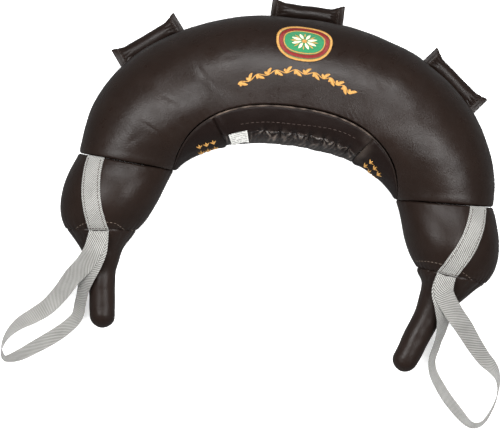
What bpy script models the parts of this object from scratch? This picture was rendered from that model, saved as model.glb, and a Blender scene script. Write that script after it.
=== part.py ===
"""A crescent-shaped leather training bag with webbing loops, two stuffed grips and three padded handles.

The bag lies on its back. X runs across its width, Y towards its crown, Z up, in metres.
The origin is on the flattened underside, beneath the middle of the crown.
"""
import math

import bmesh
import bpy
from mathutils import Matrix, Vector

# Leather, seams and clearances
LEATHER = 0.003
GAP = 0.0004
SEAM_GAP = 0.0006
CAP_SEAM_GAP = 0.0006
FILL_SETBACK = 0.0018
WELT_CLEARANCE = 0.0007
WELT_WIDTH = 0.004
WELT_PROUD = 0.0012
SECTION_FULLNESS = 2.2
TAIL_FULLNESS = 2.0

# Plan of the crescent between the two cap seams
OUTER_HALF_SPAN = 0.324
OUTER_DEPTH = 0.252
OUTER_FULLNESS = 2.15
INNER_HALF_SPAN = 0.196
INNER_DEPTH = 0.125
INNER_SETBACK = 0.075
INNER_FULLNESS = 2.3
SPINE_DEPTH = 0.150
INNER_SEAM_ANGLE = math.radians(29)

# Heights of the stuffed body, and how far its round section is pressed flat on the ground
CROWN_HALF_HEIGHT = 0.094
SEAM_HALF_HEIGHT = 0.069
BULB_HALF_HEIGHT = 0.071
NECK_HALF_HEIGHT = 0.050
CROWN_PRESS = 0.010
SEAM_PRESS = 0.008
BULB_PRESS = 0.006
NECK_LIFT = 0.009
HEIGHT_FALL_POWER = 2.2

# Plan of a cap, from its seam to the neck, each point as shares of the outer half span and of the cap's length
CAP_LENGTH = 0.121
CAP_OUTER_SHARES = ((1.062, 0.37), (1.087, 0.76), (1.012, 0.992))
CAP_INNER_SHARES = ((0.587, 0.38), (0.611, 0.70), (0.679, 0.893))

# Inner gusset, its centre flap and the pleated closure below it
GUSSET_TOP_ANGLE = math.radians(111)
GUSSET_END_ANGLE = math.radians(165)
GUSSET_REAR_ANGLE = math.radians(228)
GUSSET_POWER = 2.6
GUSSET_CENTRE_SHARE = 0.43
FLAP_WIDTH = 0.052
FLAP_OVERLAP = 0.007
PLEAT_COUNT = 7
PLEAT_DEPTH = 0.004
PLEAT_SHARPNESS = 2
PLEAT_FADE_POWER = 0.7
TUCK_POWER = 0.5
GUSSET_MIDDLE_ANGLE = math.radians(135)
OUTER_SEAM_ANGLE = math.radians(-38)

# Filling
WADDING_THICKNESS = 0.0076
WADDING_CLEARANCE = 0.0008
SAND_SPLIT_SHARE = 0.34
SAND_END_SHARE = 0.47
SHOULDER_SHARE = 0.12
SAND_CLEARANCE = 0.0030
SAND_SPLIT_GAP = 0.002

# Stuffed grips, with the turn of their two stretches towards the middle of the bag
GRIP_HALF_WIDTH = 0.021
GRIP_TIP_HALF_WIDTH = 0.0195
GRIP_REACH = {"left": 0.157, "right": 0.172}
GRIP_BEND_SHARE = 0.4
GRIP_TURNS = {"left": (math.radians(8), math.radians(7.3)), "right": (math.radians(24), math.radians(17.5))}
GRIP_TIP_HEIGHT = 0.030
FUNNEL_SHARE = 0.5
FUNNEL_POWER = 1.5
ROOT_BAND_ANGLE = math.radians(40)
ROOT_DOME_ANGLE = math.radians(76)
CORE_CLEARANCE = 0.0012

# Webbing
WEBBING_WIDTH = 0.030
WEBBING_THICKNESS = 0.0018
LOOP_START = 0.0026
RUN_ANGLES = {"left": (math.radians(54), math.radians(87)), "right": (math.radians(49), math.radians(99))}

# Routes of the loose loops: place in the plan from the middle of the neck, height above the ground,
# and turn of the webbing from flat, in degrees
LOOP_ROUTES = {
    "left": (
        (-0.0071, -0.0310, 0.1040, 3), (-0.0176, -0.0540, 0.0860, 8),
        (-0.0351, -0.0780, 0.0600, 14), (-0.0521, -0.1070, 0.0340, 22), (-0.0691, -0.1300, 0.0190, 29),
        (-0.0891, -0.1470, 0.0145, 38), (-0.1101, -0.1630, 0.0150, 52), (-0.1261, -0.1830, 0.0165, 70),
        (-0.1321, -0.2040, 0.0168, 86), (-0.1251, -0.2190, 0.0165, 104), (-0.1081, -0.2140, 0.0150, 122),
        (-0.0871, -0.2000, 0.0130, 131), (-0.0581, -0.1785, 0.0120, 136), (-0.0361, -0.1590, 0.0130, 134),
        (-0.0221, -0.1400, 0.0150, 130), (-0.0191, -0.1180, 0.0230, 133), (-0.0171, -0.0960, 0.0440, 142),
        (-0.0131, -0.0760, 0.0690, 153), (-0.0061, -0.0540, 0.0900, 165), (-0.0011, -0.0310, 0.1020, 175),
    ),
    "right": (
        (-0.0089, -0.0260, 0.1045, 3), (0.0081, -0.0520, 0.0880, 8),
        (0.0321, -0.0780, 0.0600, 14), (0.0511, -0.1010, 0.0350, 24), (0.0701, -0.1210, 0.0195, 36),
        (0.0871, -0.1360, 0.0155, 54), (0.0971, -0.1540, 0.0165, 76), (0.0981, -0.1770, 0.0168, 87),
        (0.0921, -0.2010, 0.0166, 92), (0.0801, -0.2230, 0.0165, 98), (0.0631, -0.2270, 0.0160, 110),
        (0.0421, -0.2110, 0.0150, 121), (0.0171, -0.1860, 0.0145, 123), (-0.0029, -0.1590, 0.0150, 119),
        (-0.0099, -0.1370, 0.0165, 114), (-0.0069, -0.1150, 0.0240, 118), (-0.0029, -0.0930, 0.0450, 129),
        (-0.0019, -0.0710, 0.0700, 145), (-0.0059, -0.0490, 0.0900, 160), (-0.0129, -0.0250, 0.1015, 174),
    ),
}

# Padded handles on the outer curve
HANDLE_ANGLES = {"left": math.radians(135.4), "top": math.radians(90), "right": math.radians(44.6)}
HANDLE_REACHES = {"left": 0.019, "top": 0.0225, "right": 0.019}
HANDLE_LENGTH = 0.114
HANDLE_HALF_DEPTH = 0.0125
HANDLE_HEIGHT = 0.028
HANDLE_LEATHER = 0.002
FIN_HALF_THICKNESS = 0.0032
FIN_FLARE = 0.0065
FIN_SHARE = 0.2
TAB_LENGTH = 0.020
TAB_HEIGHT = 0.022
TAB_THICKNESS = 0.0025

# Care label and badge
LABEL_LENGTH = 0.030
LABEL_WIDTH = 0.024
LABEL_THICKNESS = 0.0008
LABEL_HINGE_SETBACK = 0.0015
LABEL_PLACE_SHARE = -0.315
PATCH_LENGTH = 0.087
PATCH_WIDTH = 0.064
PATCH_THICKNESS = 0.0014
PATCH_ANGLE = math.radians(54)
PATCH_FULLNESS = 2.4
PATCH_END_SHARE = 0.14
AXIS_DISPLAY = 0.01

# How finely the round forms are divided
BODY_STEPS = 26
CAP_STEPS = 5
FRONT_STEPS = 9
BACK_STEPS = 11
FILL_STEPS = 16
ROUND_STEPS = 14
HANDLE_ROUND_STEPS = 12
LOOP_STEPS = 46
GUSSET_STEPS = 5
FLAP_STEPS = 3
STITCH_STEPS = 5
CLOSURE_STEPS = 4
STRAP_STEPS = 4
PATCH_STEPS = 10
ROOT_STEPS = 3
COVER_SHARES = (-1, -0.9, -0.8, -0.7, -0.6, -0.25, 0.25, 0.6, 0.7, 0.8, 0.9, 1)
CORE_SHARES = (-0.7, -0.6, -0.25, 0.25, 0.6, 0.7)
GRIP_SHARES = (0, 0.08, 0.17, 0.27, 0.38, 0.5, 0.7)
TIP_ANGLES = (math.radians(30), math.radians(58), math.radians(80))
MERGE = 0.00001

# Short steps along a curve, as shares of its length, from which slopes are found
SLOPE_SHARE = 0.002
ROUTE_SHARE = 0.004
PACE_SHARE = 0.01
ROW_SPACING_SHARE = 0.02
ANGLE_STEP = math.radians(1)


def mix(a, b, share):
    return a + (b - a) * share


def power(value, exponent):
    """A signed power, for the fuller-than-round outlines."""
    return math.copysign(abs(value) ** exponent, value)


def bezier(points, share):
    """A point on the smooth curve that four points steer."""
    rest = 1 - share
    weights = (rest ** 3, 3 * rest * rest * share, 3 * rest * share * share, share ** 3)
    return sum((Vector(p) * w for p, w in zip(points, weights)), Vector((0, 0)))


def outline(station):
    """The outer and inner points of the plan at a station: 0 at the crown, 1 at a cap seam, 2 at a neck."""
    side = math.copysign(1, station)
    along = min(1, abs(station))
    turn = math.pi / 2 * (1 - along)
    inner_turn = mix(math.pi / 2, INNER_SEAM_ANGLE, along)
    outer = Vector((OUTER_HALF_SPAN * power(math.cos(turn), 2 / OUTER_FULLNESS),
                    OUTER_DEPTH * power(math.sin(turn), 2 / OUTER_FULLNESS) - SPINE_DEPTH))
    inner = Vector((INNER_HALF_SPAN * power(math.cos(inner_turn), 2 / INNER_FULLNESS),
                    INNER_DEPTH * power(math.sin(inner_turn), 2 / INNER_FULLNESS)
                    - INNER_SETBACK - SPINE_DEPTH))
    if abs(station) > 1:
        curves = [[seam, *((x * OUTER_HALF_SPAN, -y * CAP_LENGTH - SPINE_DEPTH) for x, y in shares)]
                  for seam, shares in ((outer, CAP_OUTER_SHARES), (inner, CAP_INNER_SHARES))]
        outer, inner = (bezier(curve, abs(station) - 1) for curve in curves)
    return Vector((side * outer.x, outer.y)), Vector((side * inner.x, inner.y))


def heights(station):
    """The half height of the section at a station, and the height of its middle."""
    along = abs(station)
    if along <= 1:
        fall = along ** HEIGHT_FALL_POWER
        half = mix(CROWN_HALF_HEIGHT, SEAM_HALF_HEIGHT, fall)
        lift = -mix(CROWN_PRESS, SEAM_PRESS, fall)
    else:
        share = along - 1
        weights = ((1 - share) ** 2, 2 * share * (1 - share), share ** 2)
        middle = 2 * BULB_HALF_HEIGHT - (SEAM_HALF_HEIGHT + NECK_HALF_HEIGHT) / 2
        middle_lift = -2 * BULB_PRESS - (NECK_LIFT - SEAM_PRESS) / 2
        half = sum(w * v for w, v in zip(weights, (SEAM_HALF_HEIGHT, middle, NECK_HALF_HEIGHT)))
        lift = sum(w * v for w, v in zip(weights, (-SEAM_PRESS, middle_lift, NECK_LIFT)))
    return half, half + lift


def bag_point(station, angle):
    """A point on the bag's skin. The angle runs from the outer side over the top."""
    outer, inner = outline(station)
    half, middle = heights(station)
    fullness = mix(SECTION_FULLNESS, TAIL_FULLNESS, max(0, abs(station) - 1))
    across = power(math.cos(angle), 2 / fullness) / 2
    up = power(math.sin(angle), 2 / fullness)
    plan = (outer + inner) / 2 + (outer - inner) * across
    return Vector((plan.x, plan.y, max(0, middle + half * up)))


def bag_normal(station, angle):
    """The direction out of the skin, from two short steps along it."""
    low, high = station - SLOPE_SHARE, station + SLOPE_SHARE
    if abs(station) <= 1:
        low, high = max(-1, low), min(1, high)
    elif station > 0:
        low = max(1, low)
    else:
        high = min(-1, high)
    lengthwise = bag_point(high, angle) - bag_point(low, angle)
    around = bag_point(station, angle + SLOPE_SHARE) - bag_point(station, angle - SLOPE_SHARE)
    if around.length < MERGE * SLOPE_SHARE:
        return Vector((0, 0, math.copysign(1, math.sin(angle))))
    return around.cross(lengthwise).normalized()


def angle_shift(station, angle, distance):
    """The angle that lies a distance further round the section."""
    span = (bag_point(station, angle + ANGLE_STEP) - bag_point(station, angle - ANGLE_STEP)).length
    return angle + distance * 2 * ANGLE_STEP / max(span, MERGE)


def station_shift(station, angle, distance):
    """The station that lies a distance further from the crown, or nearer where it is negative."""
    step = math.copysign(ROUTE_SHARE, station * distance)
    span = (bag_point(station + step, angle) - bag_point(station, angle)).length
    return station + step * abs(distance) / span


def spread(first, last, steps):
    return [mix(first, last, i / steps) for i in range(steps + 1)]


def body_stations(first, last):
    """The shared stations of the crescent that lie between two given ones, with those two."""
    inside = [s for s in spread(-1, 1, BODY_STEPS) if first + ROW_SPACING_SHARE < s < last - ROW_SPACING_SHARE]
    return [first, *inside, last]


def gusset_angle(station):
    """Where the gusset's front seam runs."""
    return mix(GUSSET_TOP_ANGLE, GUSSET_END_ANGLE, min(1, abs(station)) ** GUSSET_POWER)


def rear_angle(station):
    """Where the gusset's rear seam runs."""
    return mix(GUSSET_REAR_ANGLE, 2 * math.pi - GUSSET_END_ANGLE, min(1, abs(station)) ** GUSSET_POWER)


def flap_angle(station):
    return angle_shift(station, gusset_angle(station), FLAP_WIDTH)


def plain_material(name, colour, roughness):
    """A Principled material of one colour."""
    material = bpy.data.materials.new(name)
    material.use_nodes = True
    shader = material.node_tree.nodes["Principled BSDF"]
    shader.inputs["Base Color"].default_value = (*colour, 1)
    shader.inputs["Roughness"].default_value = roughness
    shader.inputs["Metallic"].default_value = 0
    return material


def finish(name, mesh, material, collection, parent=None):
    """Names an object, gives it its material and smooth sides, and hangs it on its joint."""
    mesh.name = name
    mesh.materials.append(material)
    mesh.shade_smooth()
    mesh.set_sharp_from_angle(angle=math.radians(40))
    item = bpy.data.objects.new(name, mesh)
    collection.objects.link(item)
    if parent:
        item.parent = parent
        item.matrix_parent_inverse = Matrix.Translation(-parent.location)
    return item


def grid_mesh(rows, closed=False):
    """A skin through rows of points."""
    bm = bmesh.new()
    rings = [[bm.verts.new(p) for p in row] for row in rows]
    for low, high in zip(rings, rings[1:]):
        count = len(low)
        for i in range(count if closed else count - 1):
            j = (i + 1) % count
            bm.faces.new((low[i], low[j], high[j], high[i]))
    bmesh.ops.remove_doubles(bm, verts=bm.verts, dist=MERGE)
    bmesh.ops.recalc_face_normals(bm, faces=bm.faces)
    mesh = bpy.data.meshes.new("skin")
    bm.to_mesh(mesh)
    bm.free()
    return mesh


def loft_mesh(rings):
    """A closed solid through rings of points, with flat ends."""
    bm = bmesh.new()
    loops = [[bm.verts.new(p) for p in ring] for ring in rings]
    for low, high in zip(loops, loops[1:]):
        for i in range(len(low)):
            j = (i + 1) % len(low)
            bm.faces.new((low[i], low[j], high[j], high[i]))
    bm.faces.new(loops[0])
    bm.faces.new(loops[-1])
    bmesh.ops.remove_doubles(bm, verts=bm.verts, dist=MERGE)
    bmesh.ops.recalc_face_normals(bm, faces=bm.faces)
    mesh = bpy.data.meshes.new("solid")
    bm.to_mesh(mesh)
    bm.free()
    return mesh


def face_outward(mesh, centre_of):
    """Turns an open skin's faces away from the middle that a rule gives for each face."""
    bm = bmesh.new()
    bm.from_mesh(mesh)
    out = sum(f.normal.dot(f.calc_center_median() - centre_of(f.calc_center_median())) for f in bm.faces)
    if out < 0:
        bmesh.ops.reverse_faces(bm, faces=bm.faces)
    bm.to_mesh(mesh)
    bm.free()


def skin_point(station, angle, depth):
    """A point a depth below the skin, or above it where the depth is negative."""
    return bag_point(station, angle) - bag_normal(station, angle) * depth


def shell_mesh(top, bottom):
    """A closed solid between two like grids of points."""
    bm = bmesh.new()
    upper, lower = ([[bm.verts.new(p) for p in row] for row in grid] for grid in (top, bottom))
    last = len(upper[0]) - 1
    for i in range(len(upper) - 1):
        for j in range(last):
            bm.faces.new((upper[i][j], upper[i][j + 1], upper[i + 1][j + 1], upper[i + 1][j]))
            bm.faces.new((lower[i][j], lower[i + 1][j], lower[i + 1][j + 1], lower[i][j + 1]))
        for j in (0, last):
            bm.faces.new((upper[i][j], upper[i + 1][j], lower[i + 1][j], lower[i][j]))
    for row, under in ((upper[0], lower[0]), (upper[-1], lower[-1])):
        for j in range(last):
            bm.faces.new((row[j], row[j + 1], under[j + 1], under[j]))
    bmesh.ops.recalc_face_normals(bm, faces=bm.faces)
    mesh = bpy.data.meshes.new("shell")
    bm.to_mesh(mesh)
    bm.free()
    return mesh


def skin_places(stations, low, high, steps, seam_shift=0):
    """Places on the skin between two angle rules. The rows at a cap seam are shifted away from it."""
    rows = []
    for s in stations:
        angles = spread(low(s), high(s), steps)
        rows.append([(station_shift(s, a, seam_shift) if abs(s) == 1 else s, a) for a in angles])
    return rows


def skin_shell(name, places, depth, thickness, material, collection, parent=None):
    """A sheet that follows the skin, its upper face at a depth or at a depth rule."""
    rule = depth if callable(depth) else lambda s, a: depth
    top = [[skin_point(s, a, rule(s, a)) for s, a in row] for row in places]
    bottom = [[skin_point(s, a, rule(s, a) + thickness) for s, a in row] for row in places]
    return finish(name, shell_mesh(top, bottom), material, collection, parent)


def tube_shell(name, rings, thickness, material, collection, parent):
    """A sleeve round a row of rings, made solid inwards."""
    spine = [sum(ring, Vector()) / len(ring) for ring in rings]
    mesh = grid_mesh(rings, closed=True)
    face_outward(mesh, lambda p: min(spine, key=lambda m: (m - p).length))
    item = finish(name, mesh, material, collection, parent)
    solid = item.modifiers.new("thickness", "SOLIDIFY")
    solid.thickness = thickness
    solid.offset = -1
    solid.use_even_offset = True
    return item


def add_crescent(materials, collection):
    """The front and back panels, which meet at a seam low on the outer side."""
    stations = body_stations(-1, 1)
    half_welt = WELT_WIDTH / 2 + WELT_CLEARANCE

    def outer_seam(distance):
        return lambda s: angle_shift(s, OUTER_SEAM_ANGLE, distance)

    def inner_seam(rule, distance):
        return lambda s: angle_shift(s, rule(s), distance)

    front = skin_places(stations, outer_seam(SEAM_GAP / 2), inner_seam(gusset_angle, -half_welt), FRONT_STEPS,
                        -CAP_SEAM_GAP / 2)
    skin_shell("front_panel", front, 0, LEATHER, materials["leather"], collection)
    back = skin_places(stations, inner_seam(rear_angle, half_welt),
                       lambda s: 2 * math.pi + outer_seam(-SEAM_GAP / 2)(s), BACK_STEPS, -CAP_SEAM_GAP / 2)
    skin_shell("back_panel", back, 0, LEATHER, materials["leather"], collection)


def add_gusset(materials, collection):
    """The lens-shaped inner gusset: two wedges, the centre flap and the pleated closure below it."""
    half_welt = WELT_WIDTH / 2 + WELT_CLEARANCE

    def low(s):
        return angle_shift(s, gusset_angle(s), half_welt)

    def high(s):
        return angle_shift(s, rear_angle(s), -half_welt)

    cross = station_shift(GUSSET_CENTRE_SHARE, GUSSET_MIDDLE_ANGLE, SEAM_GAP / 2)
    for name, first, last in (("gusset_left", -1, -cross), ("gusset_right", cross, 1)):
        wedge = skin_places(body_stations(first, last), low, high, GUSSET_STEPS, -CAP_SEAM_GAP / 2)
        skin_shell(name, wedge, 0, LEATHER, materials["leather"], collection)
    inset = station_shift(GUSSET_CENTRE_SHARE, GUSSET_MIDDLE_ANGLE, -SEAM_GAP / 2)
    flap = skin_places(body_stations(-inset, inset), low, flap_angle, FLAP_STEPS)
    skin_shell("gusset_flap", flap, 0, LEATHER, materials["leather"], collection)

    tuck = LEATHER + 2 * GAP

    def closure_low(s):
        return angle_shift(s, flap_angle(s), -FLAP_OVERLAP)

    def pucker(s, angle):
        """The closure lies below the flap, rises to the skin at the rear seam and is drawn into pleats."""
        share = (angle - closure_low(s)) / (high(s) - closure_low(s))
        across = (s / inset + 1) / 2 * PLEAT_COUNT
        wave = math.sin(math.pi * across) ** (2 * PLEAT_SHARPNESS)
        fade = math.sin(math.pi * min(1, max(0, share))) ** PLEAT_FADE_POWER
        return tuck * max(0, 1 - share) ** TUCK_POWER + PLEAT_DEPTH * (1 - wave) * fade

    closure = skin_places(spread(-inset, inset, PLEAT_COUNT * STITCH_STEPS), closure_low, high, CLOSURE_STEPS)
    skin_shell("pleated_closure", closure, pucker, LEATHER / 2, materials["leather"], collection)


def add_welts(materials, collection):
    """Rolled edges that stand a little proud along the gusset's front and rear seams."""
    for name, rule in (("front_welt", gusset_angle), ("rear_welt", rear_angle)):
        rings = []
        for station in body_stations(-1, 1):
            if abs(station) == 1:
                station = station_shift(station, rule(station), -CAP_SEAM_GAP / 2)
            corners = ((-1, LEATHER), (-1, 0), (-0.5, -WELT_PROUD), (0.5, -WELT_PROUD), (1, 0), (1, LEATHER))
            rings.append([skin_point(station, angle_shift(station, rule(station), place * WELT_WIDTH / 2), depth)
                          for place, depth in corners])
        mesh = loft_mesh(rings)
        finish(name, mesh, materials["welt"], collection)


def add_caps(materials, collection):
    """The bulbous end caps, each of a front and a back half, from the cap seam to the neck."""
    for side_name, side in (("left", -1), ("right", 1)):
        stations = spread(side, 2 * side, CAP_STEPS)
        for half_name, low, high in (("front", 0, math.pi), ("back", math.pi, 2 * math.pi)):
            places = skin_places(stations, lambda s: angle_shift(s, low, SEAM_GAP / 2),
                                 lambda s: angle_shift(s, high, -SEAM_GAP / 2), FILL_STEPS // 2,
                                 CAP_SEAM_GAP / 2)
            skin_shell(f"cap_{half_name}_{side_name}", places, 0, LEATHER, materials["leather"], collection)


def fill_depth(station):
    """How deep the sand lies below the skin: under the wadding in the crescent, close below it in the caps."""
    along = abs(station)
    share = min(1, max(0, (along - 1) / SHOULDER_SHARE - 0.5))
    return LEATHER + SAND_CLEARANCE + WADDING_THICKNESS * (1 - share)


def add_filling(materials, collection):
    """Two layers of wadding inside the panels, round three sand bags laid end to end."""
    half_welt = WELT_WIDTH / 2 + WELT_CLEARANCE
    stations = body_stations(-1, 1)
    front = skin_places(stations, lambda s: angle_shift(s, OUTER_SEAM_ANGLE, GAP),
                        lambda s: angle_shift(s, gusset_angle(s), -half_welt - GAP), FRONT_STEPS, -FILL_SETBACK)
    skin_shell("wadding_front", front, LEATHER + WADDING_CLEARANCE, WADDING_THICKNESS, materials["wool"], collection)
    back = skin_places(stations, lambda s: angle_shift(s, rear_angle(s), half_welt + GAP),
                       lambda s: 2 * math.pi + angle_shift(s, OUTER_SEAM_ANGLE, -GAP), BACK_STEPS, -FILL_SETBACK)
    skin_shell("wadding_back", back, LEATHER + WADDING_CLEARANCE, WADDING_THICKNESS, materials["wool"], collection)

    def sand_rings(sand_stations):
        rings = []
        for s in sand_stations:
            angles = spread(0, 2 * math.pi, FILL_STEPS)[:-1]
            rings.append([skin_point(s, a, fill_depth(s)) for a in angles])
        return rings

    split = SAND_SPLIT_SHARE
    inner_end = station_shift(split, math.pi / 2, -SAND_SPLIT_GAP / 2)
    outer_start = station_shift(split, math.pi / 2, SAND_SPLIT_GAP / 2)
    tail = [1 + SHOULDER_SHARE * share for share in (0.5, 1, 1.5)]
    half = body_stations(outer_start, 1) + tail + [mix(tail[-1], 1 + SAND_END_SHARE, 0.5), 1 + SAND_END_SHARE]
    finish("sand_bag_centre", loft_mesh(sand_rings(body_stations(-inner_end, inner_end))),
           materials["sand"], collection)
    finish("sand_bag_right", loft_mesh(sand_rings(half)), materials["sand"], collection)
    finish("sand_bag_left", loft_mesh(sand_rings([-s for s in half])), materials["sand"], collection)


def neck_frame(side):
    """The middle of a neck and the half sizes of the root that seats in it."""
    outer, inner = outline(2 * side)
    half, middle = heights(2 * side)
    centre = (outer + inner) / 2
    seat = LEATHER + 3 * GAP
    return Vector((centre.x, centre.y, middle)), (outer - inner).length / 2 - seat, half - seat


def grip_rings(side_name, side, inset, dome):
    """Rings of a grip: a round root that seats in the neck, the funnel, the grip and its round tip."""
    centre, root_width, root_height = neck_frame(side)
    reach = GRIP_REACH[side_name]
    turns = GRIP_TURNS[side_name]
    legs = (reach * GRIP_BEND_SHARE, reach * (1 - GRIP_BEND_SHARE))
    drop = GRIP_TIP_HEIGHT - centre.z
    knots = [centre]
    for turn, leg in zip(turns, legs):
        step = Vector((-side * math.sin(turn) * leg, -math.cos(turn) * leg, drop * leg / reach))
        knots.append(knots[-1] + step)

    def path(share):
        rest = 1 - share
        return knots[0] * rest * rest + knots[1] * 2 * rest * share + knots[2] * share * share

    def ring(middle, ahead, half_width, half_height):
        across = Vector((-ahead.y, ahead.x, 0)).normalized()
        return [middle + across * math.cos(a) * half_width + Vector((0, 0, math.sin(a) * half_height))
                for a in spread(0, 2 * math.pi, ROUND_STEPS)[:-1]]

    rings = []
    first_ahead = (knots[1] - knots[0]).normalized()
    flat_ahead = Vector((first_ahead.x, first_ahead.y, 0)).normalized()
    for i in range(ROOT_STEPS):
        tilt = mix(dome, 0, i / ROOT_STEPS)
        middle = centre - flat_ahead * math.sin(tilt) * (root_width - inset)
        rings.append(ring(middle, flat_ahead, (root_width - inset) * math.cos(tilt),
                          (root_height - inset) * math.cos(tilt)))
    tip_share = 1 - GRIP_TIP_HALF_WIDTH / reach
    for share in (*GRIP_SHARES, tip_share):
        narrow = max(0, 1 - share / FUNNEL_SHARE) ** FUNNEL_POWER
        slim = mix(GRIP_HALF_WIDTH, GRIP_TIP_HALF_WIDTH, max(0, share - FUNNEL_SHARE) / (1 - FUNNEL_SHARE))
        ahead = path(min(1, share + PACE_SHARE)) - path(max(0, share - PACE_SHARE))
        rings.append(ring(path(share), ahead, mix(slim, root_width, narrow) - inset,
                          mix(slim, root_height, narrow) - inset))
    ahead = (path(1) - path(1 - PACE_SHARE)).normalized()
    base = path(tip_share)
    for tilt in TIP_ANGLES:
        size = (GRIP_TIP_HALF_WIDTH - inset) * math.cos(tilt)
        rings.append(ring(base + ahead * (GRIP_TIP_HALF_WIDTH - inset) * math.sin(tilt), ahead, size, size))
    return rings


def joint_empty(name, place, collection):
    """An empty on a joint's axis, which carries the pieces that move."""
    empty = bpy.data.objects.new(name, None)
    empty.location = place
    empty.empty_display_size = AXIS_DISPLAY
    collection.objects.link(empty)
    return empty


def add_grips(materials, collection):
    """Each grip is a leather cover over a firm core, and bends sideways in its neck."""
    for side_name, side in (("left", -1), ("right", 1)):
        centre = neck_frame(side)[0]
        axis = joint_empty(f"{side_name}_grip_axis", centre, collection)
        cover = grip_rings(side_name, side, 0, ROOT_BAND_ANGLE)
        tip = sum(cover[-1], Vector()) / ROUND_STEPS
        tube_shell(f"grip_cover_{side_name}", [*cover, [tip] * ROUND_STEPS], LEATHER,
                   materials["leather"], collection, axis)
        core = grip_rings(side_name, side, LEATHER + CORE_CLEARANCE, ROOT_DOME_ANGLE)
        finish(f"grip_core_{side_name}", loft_mesh(core), materials["wool"], collection, axis)


def add_runs(materials, collection):
    """The webbing sewn down on each cap, from the cap seam to the neck."""
    for side_name, side in (("left", -1), ("right", 1)):
        first, last = RUN_ANGLES[side_name]
        start = station_shift(side, math.pi / 2, SEAM_GAP)
        end = 2 * side
        places = []
        for share in spread(0, 1, CAP_STEPS * 2):
            station = mix(start, end, share)
            angle = mix(first, last, share)
            half = WEBBING_WIDTH / 2 / slant_of(start, end, first, last, share)
            places.append([(station, angle_shift(station, angle, half * place)) for place in spread(-1, 1, STRAP_STEPS)])
        skin_shell(f"strap_run_{side_name}", places, -GAP - WEBBING_THICKNESS, WEBBING_THICKNESS,
                   materials["webbing"], collection)


def slant_of(start, end, first, last, share):
    """The cosine between the strap's run and the length of the cap."""
    here = bag_point(mix(start, end, share), mix(first, last, share))
    later = share + PACE_SHARE
    ahead = bag_point(mix(start, end, later), mix(first, last, later)) - here
    around = bag_point(mix(start, end, share), mix(first, last, share) + ANGLE_STEP) - here
    return math.sin(ahead.angle(around))


def smooth_route(points, share):
    """A point on the smooth curve through a list of points, and its fourth value."""
    place = share * (len(points) - 1)
    i = min(int(place), len(points) - 2)
    t = place - i
    before = points[max(0, i - 1)]
    a, b = points[i], points[i + 1]
    after = points[min(len(points) - 1, i + 2)]
    return [0.5 * (2 * q + (r - p) * t + (2 * p - 5 * q + 4 * r - s) * t * t
                   + (3 * q - p - 3 * r + s) * t ** 3)
            for p, q, r, s in zip(before, a, b, after)]


def run_end(side_name, side):
    """The middle of a strap run's end at the neck, with the directions out, across and onwards."""
    station = 2 * side
    angle = RUN_ANGLES[side_name][1]
    across = bag_point(station, angle - ANGLE_STEP) - bag_point(station, angle + ANGLE_STEP)
    across = across.normalized() * side
    out = bag_normal(station, angle)
    onward = across.cross(out).normalized()
    return bag_point(station, angle), out, across, -onward if onward.y > 0 else onward


def loop_rings(side_name, side):
    """Sections of a webbing loop: two layers at the sewn end, on edge at the far end."""
    skin, out, across, onward = run_end(side_name, side)
    upper = skin + out * (GAP + WEBBING_THICKNESS / 2) + onward * LOOP_START
    lower = upper - out * (WEBBING_THICKNESS + GAP)
    neck = neck_frame(side)[0]
    loose = [(neck.x + x, neck.y + y, height, turn) for x, y, height, turn in LOOP_ROUTES[side_name]]
    route = [(*upper, 0), *loose, (*lower, 180)]
    rings = []
    for share in spread(0, 1, LOOP_STEPS):
        place = smooth_route(route, share)
        ahead = Vector(smooth_route(route, min(1, share + ROUTE_SHARE))[:3])
        ahead -= Vector(smooth_route(route, max(0, share - ROUTE_SHARE))[:3])
        if share in (0, 1):
            ahead = onward if share == 0 else -onward
        ahead.normalize()
        aside = Vector((ahead.y, -ahead.x, 0)).normalized() * -side
        lean = math.radians(place[3])
        face = out if share == 0 else -out if share == 1 else Vector((0, 0, math.cos(lean))) + aside * math.sin(lean)
        face = (face - ahead * face.dot(ahead)).normalized()
        width = ahead.cross(face).normalized() * WEBBING_WIDTH / 2
        depth = face * WEBBING_THICKNESS / 2
        middle = Vector(place[:3])
        rings.append([middle + width + depth, middle - width + depth,
                      middle - width - depth, middle + width - depth])
    return rings


def add_loops(materials, collection):
    """The loose webbing loops, which swing up about the top edge of their sewn ends."""
    for side_name, side in (("left", -1), ("right", 1)):
        skin, out, across, onward = run_end(side_name, side)
        root = skin + out * (GAP + WEBBING_THICKNESS) + onward * LOOP_START
        axis = joint_empty(f"{side_name}_loop_axis", root, collection)
        finish(f"webbing_loop_{side_name}", loft_mesh(loop_rings(side_name, side)),
               materials["webbing"], collection, axis)


def handle_frame(name):
    """A handle's station, the outline's point there, and the directions along and out."""
    station = (math.pi / 2 - HANDLE_ANGLES[name]) / (math.pi / 2)
    along = (outline(station + SLOPE_SHARE)[0] - outline(station - SLOPE_SHARE)[0]).normalized()
    return station, outline(station)[0], along, Vector((-along.y, along.x))


def handle_place(frame, along_distance, out_distance, height):
    """A world point from a handle's own frame."""
    station, outer, along, out = frame
    plan = outer + along * along_distance + out * out_distance
    return Vector((plan.x, plan.y, height))


def side_place(frame, along_distance, height):
    """The place on the bag's outer side at a distance along a handle and a height."""
    station, outer, along, out = frame
    target = outer + along * along_distance
    for _ in range(HANDLE_ROUND_STEPS):
        here = outline(station)[0]
        pace = (outline(station + SLOPE_SHARE)[0] - here) / SLOPE_SHARE
        station += (target - here).dot(pace) / pace.length_squared
    half, middle = heights(station)
    level = (height - middle) / half
    return station, -math.asin(min(1, abs(level) ** (SECTION_FULLNESS / 2)))


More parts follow.
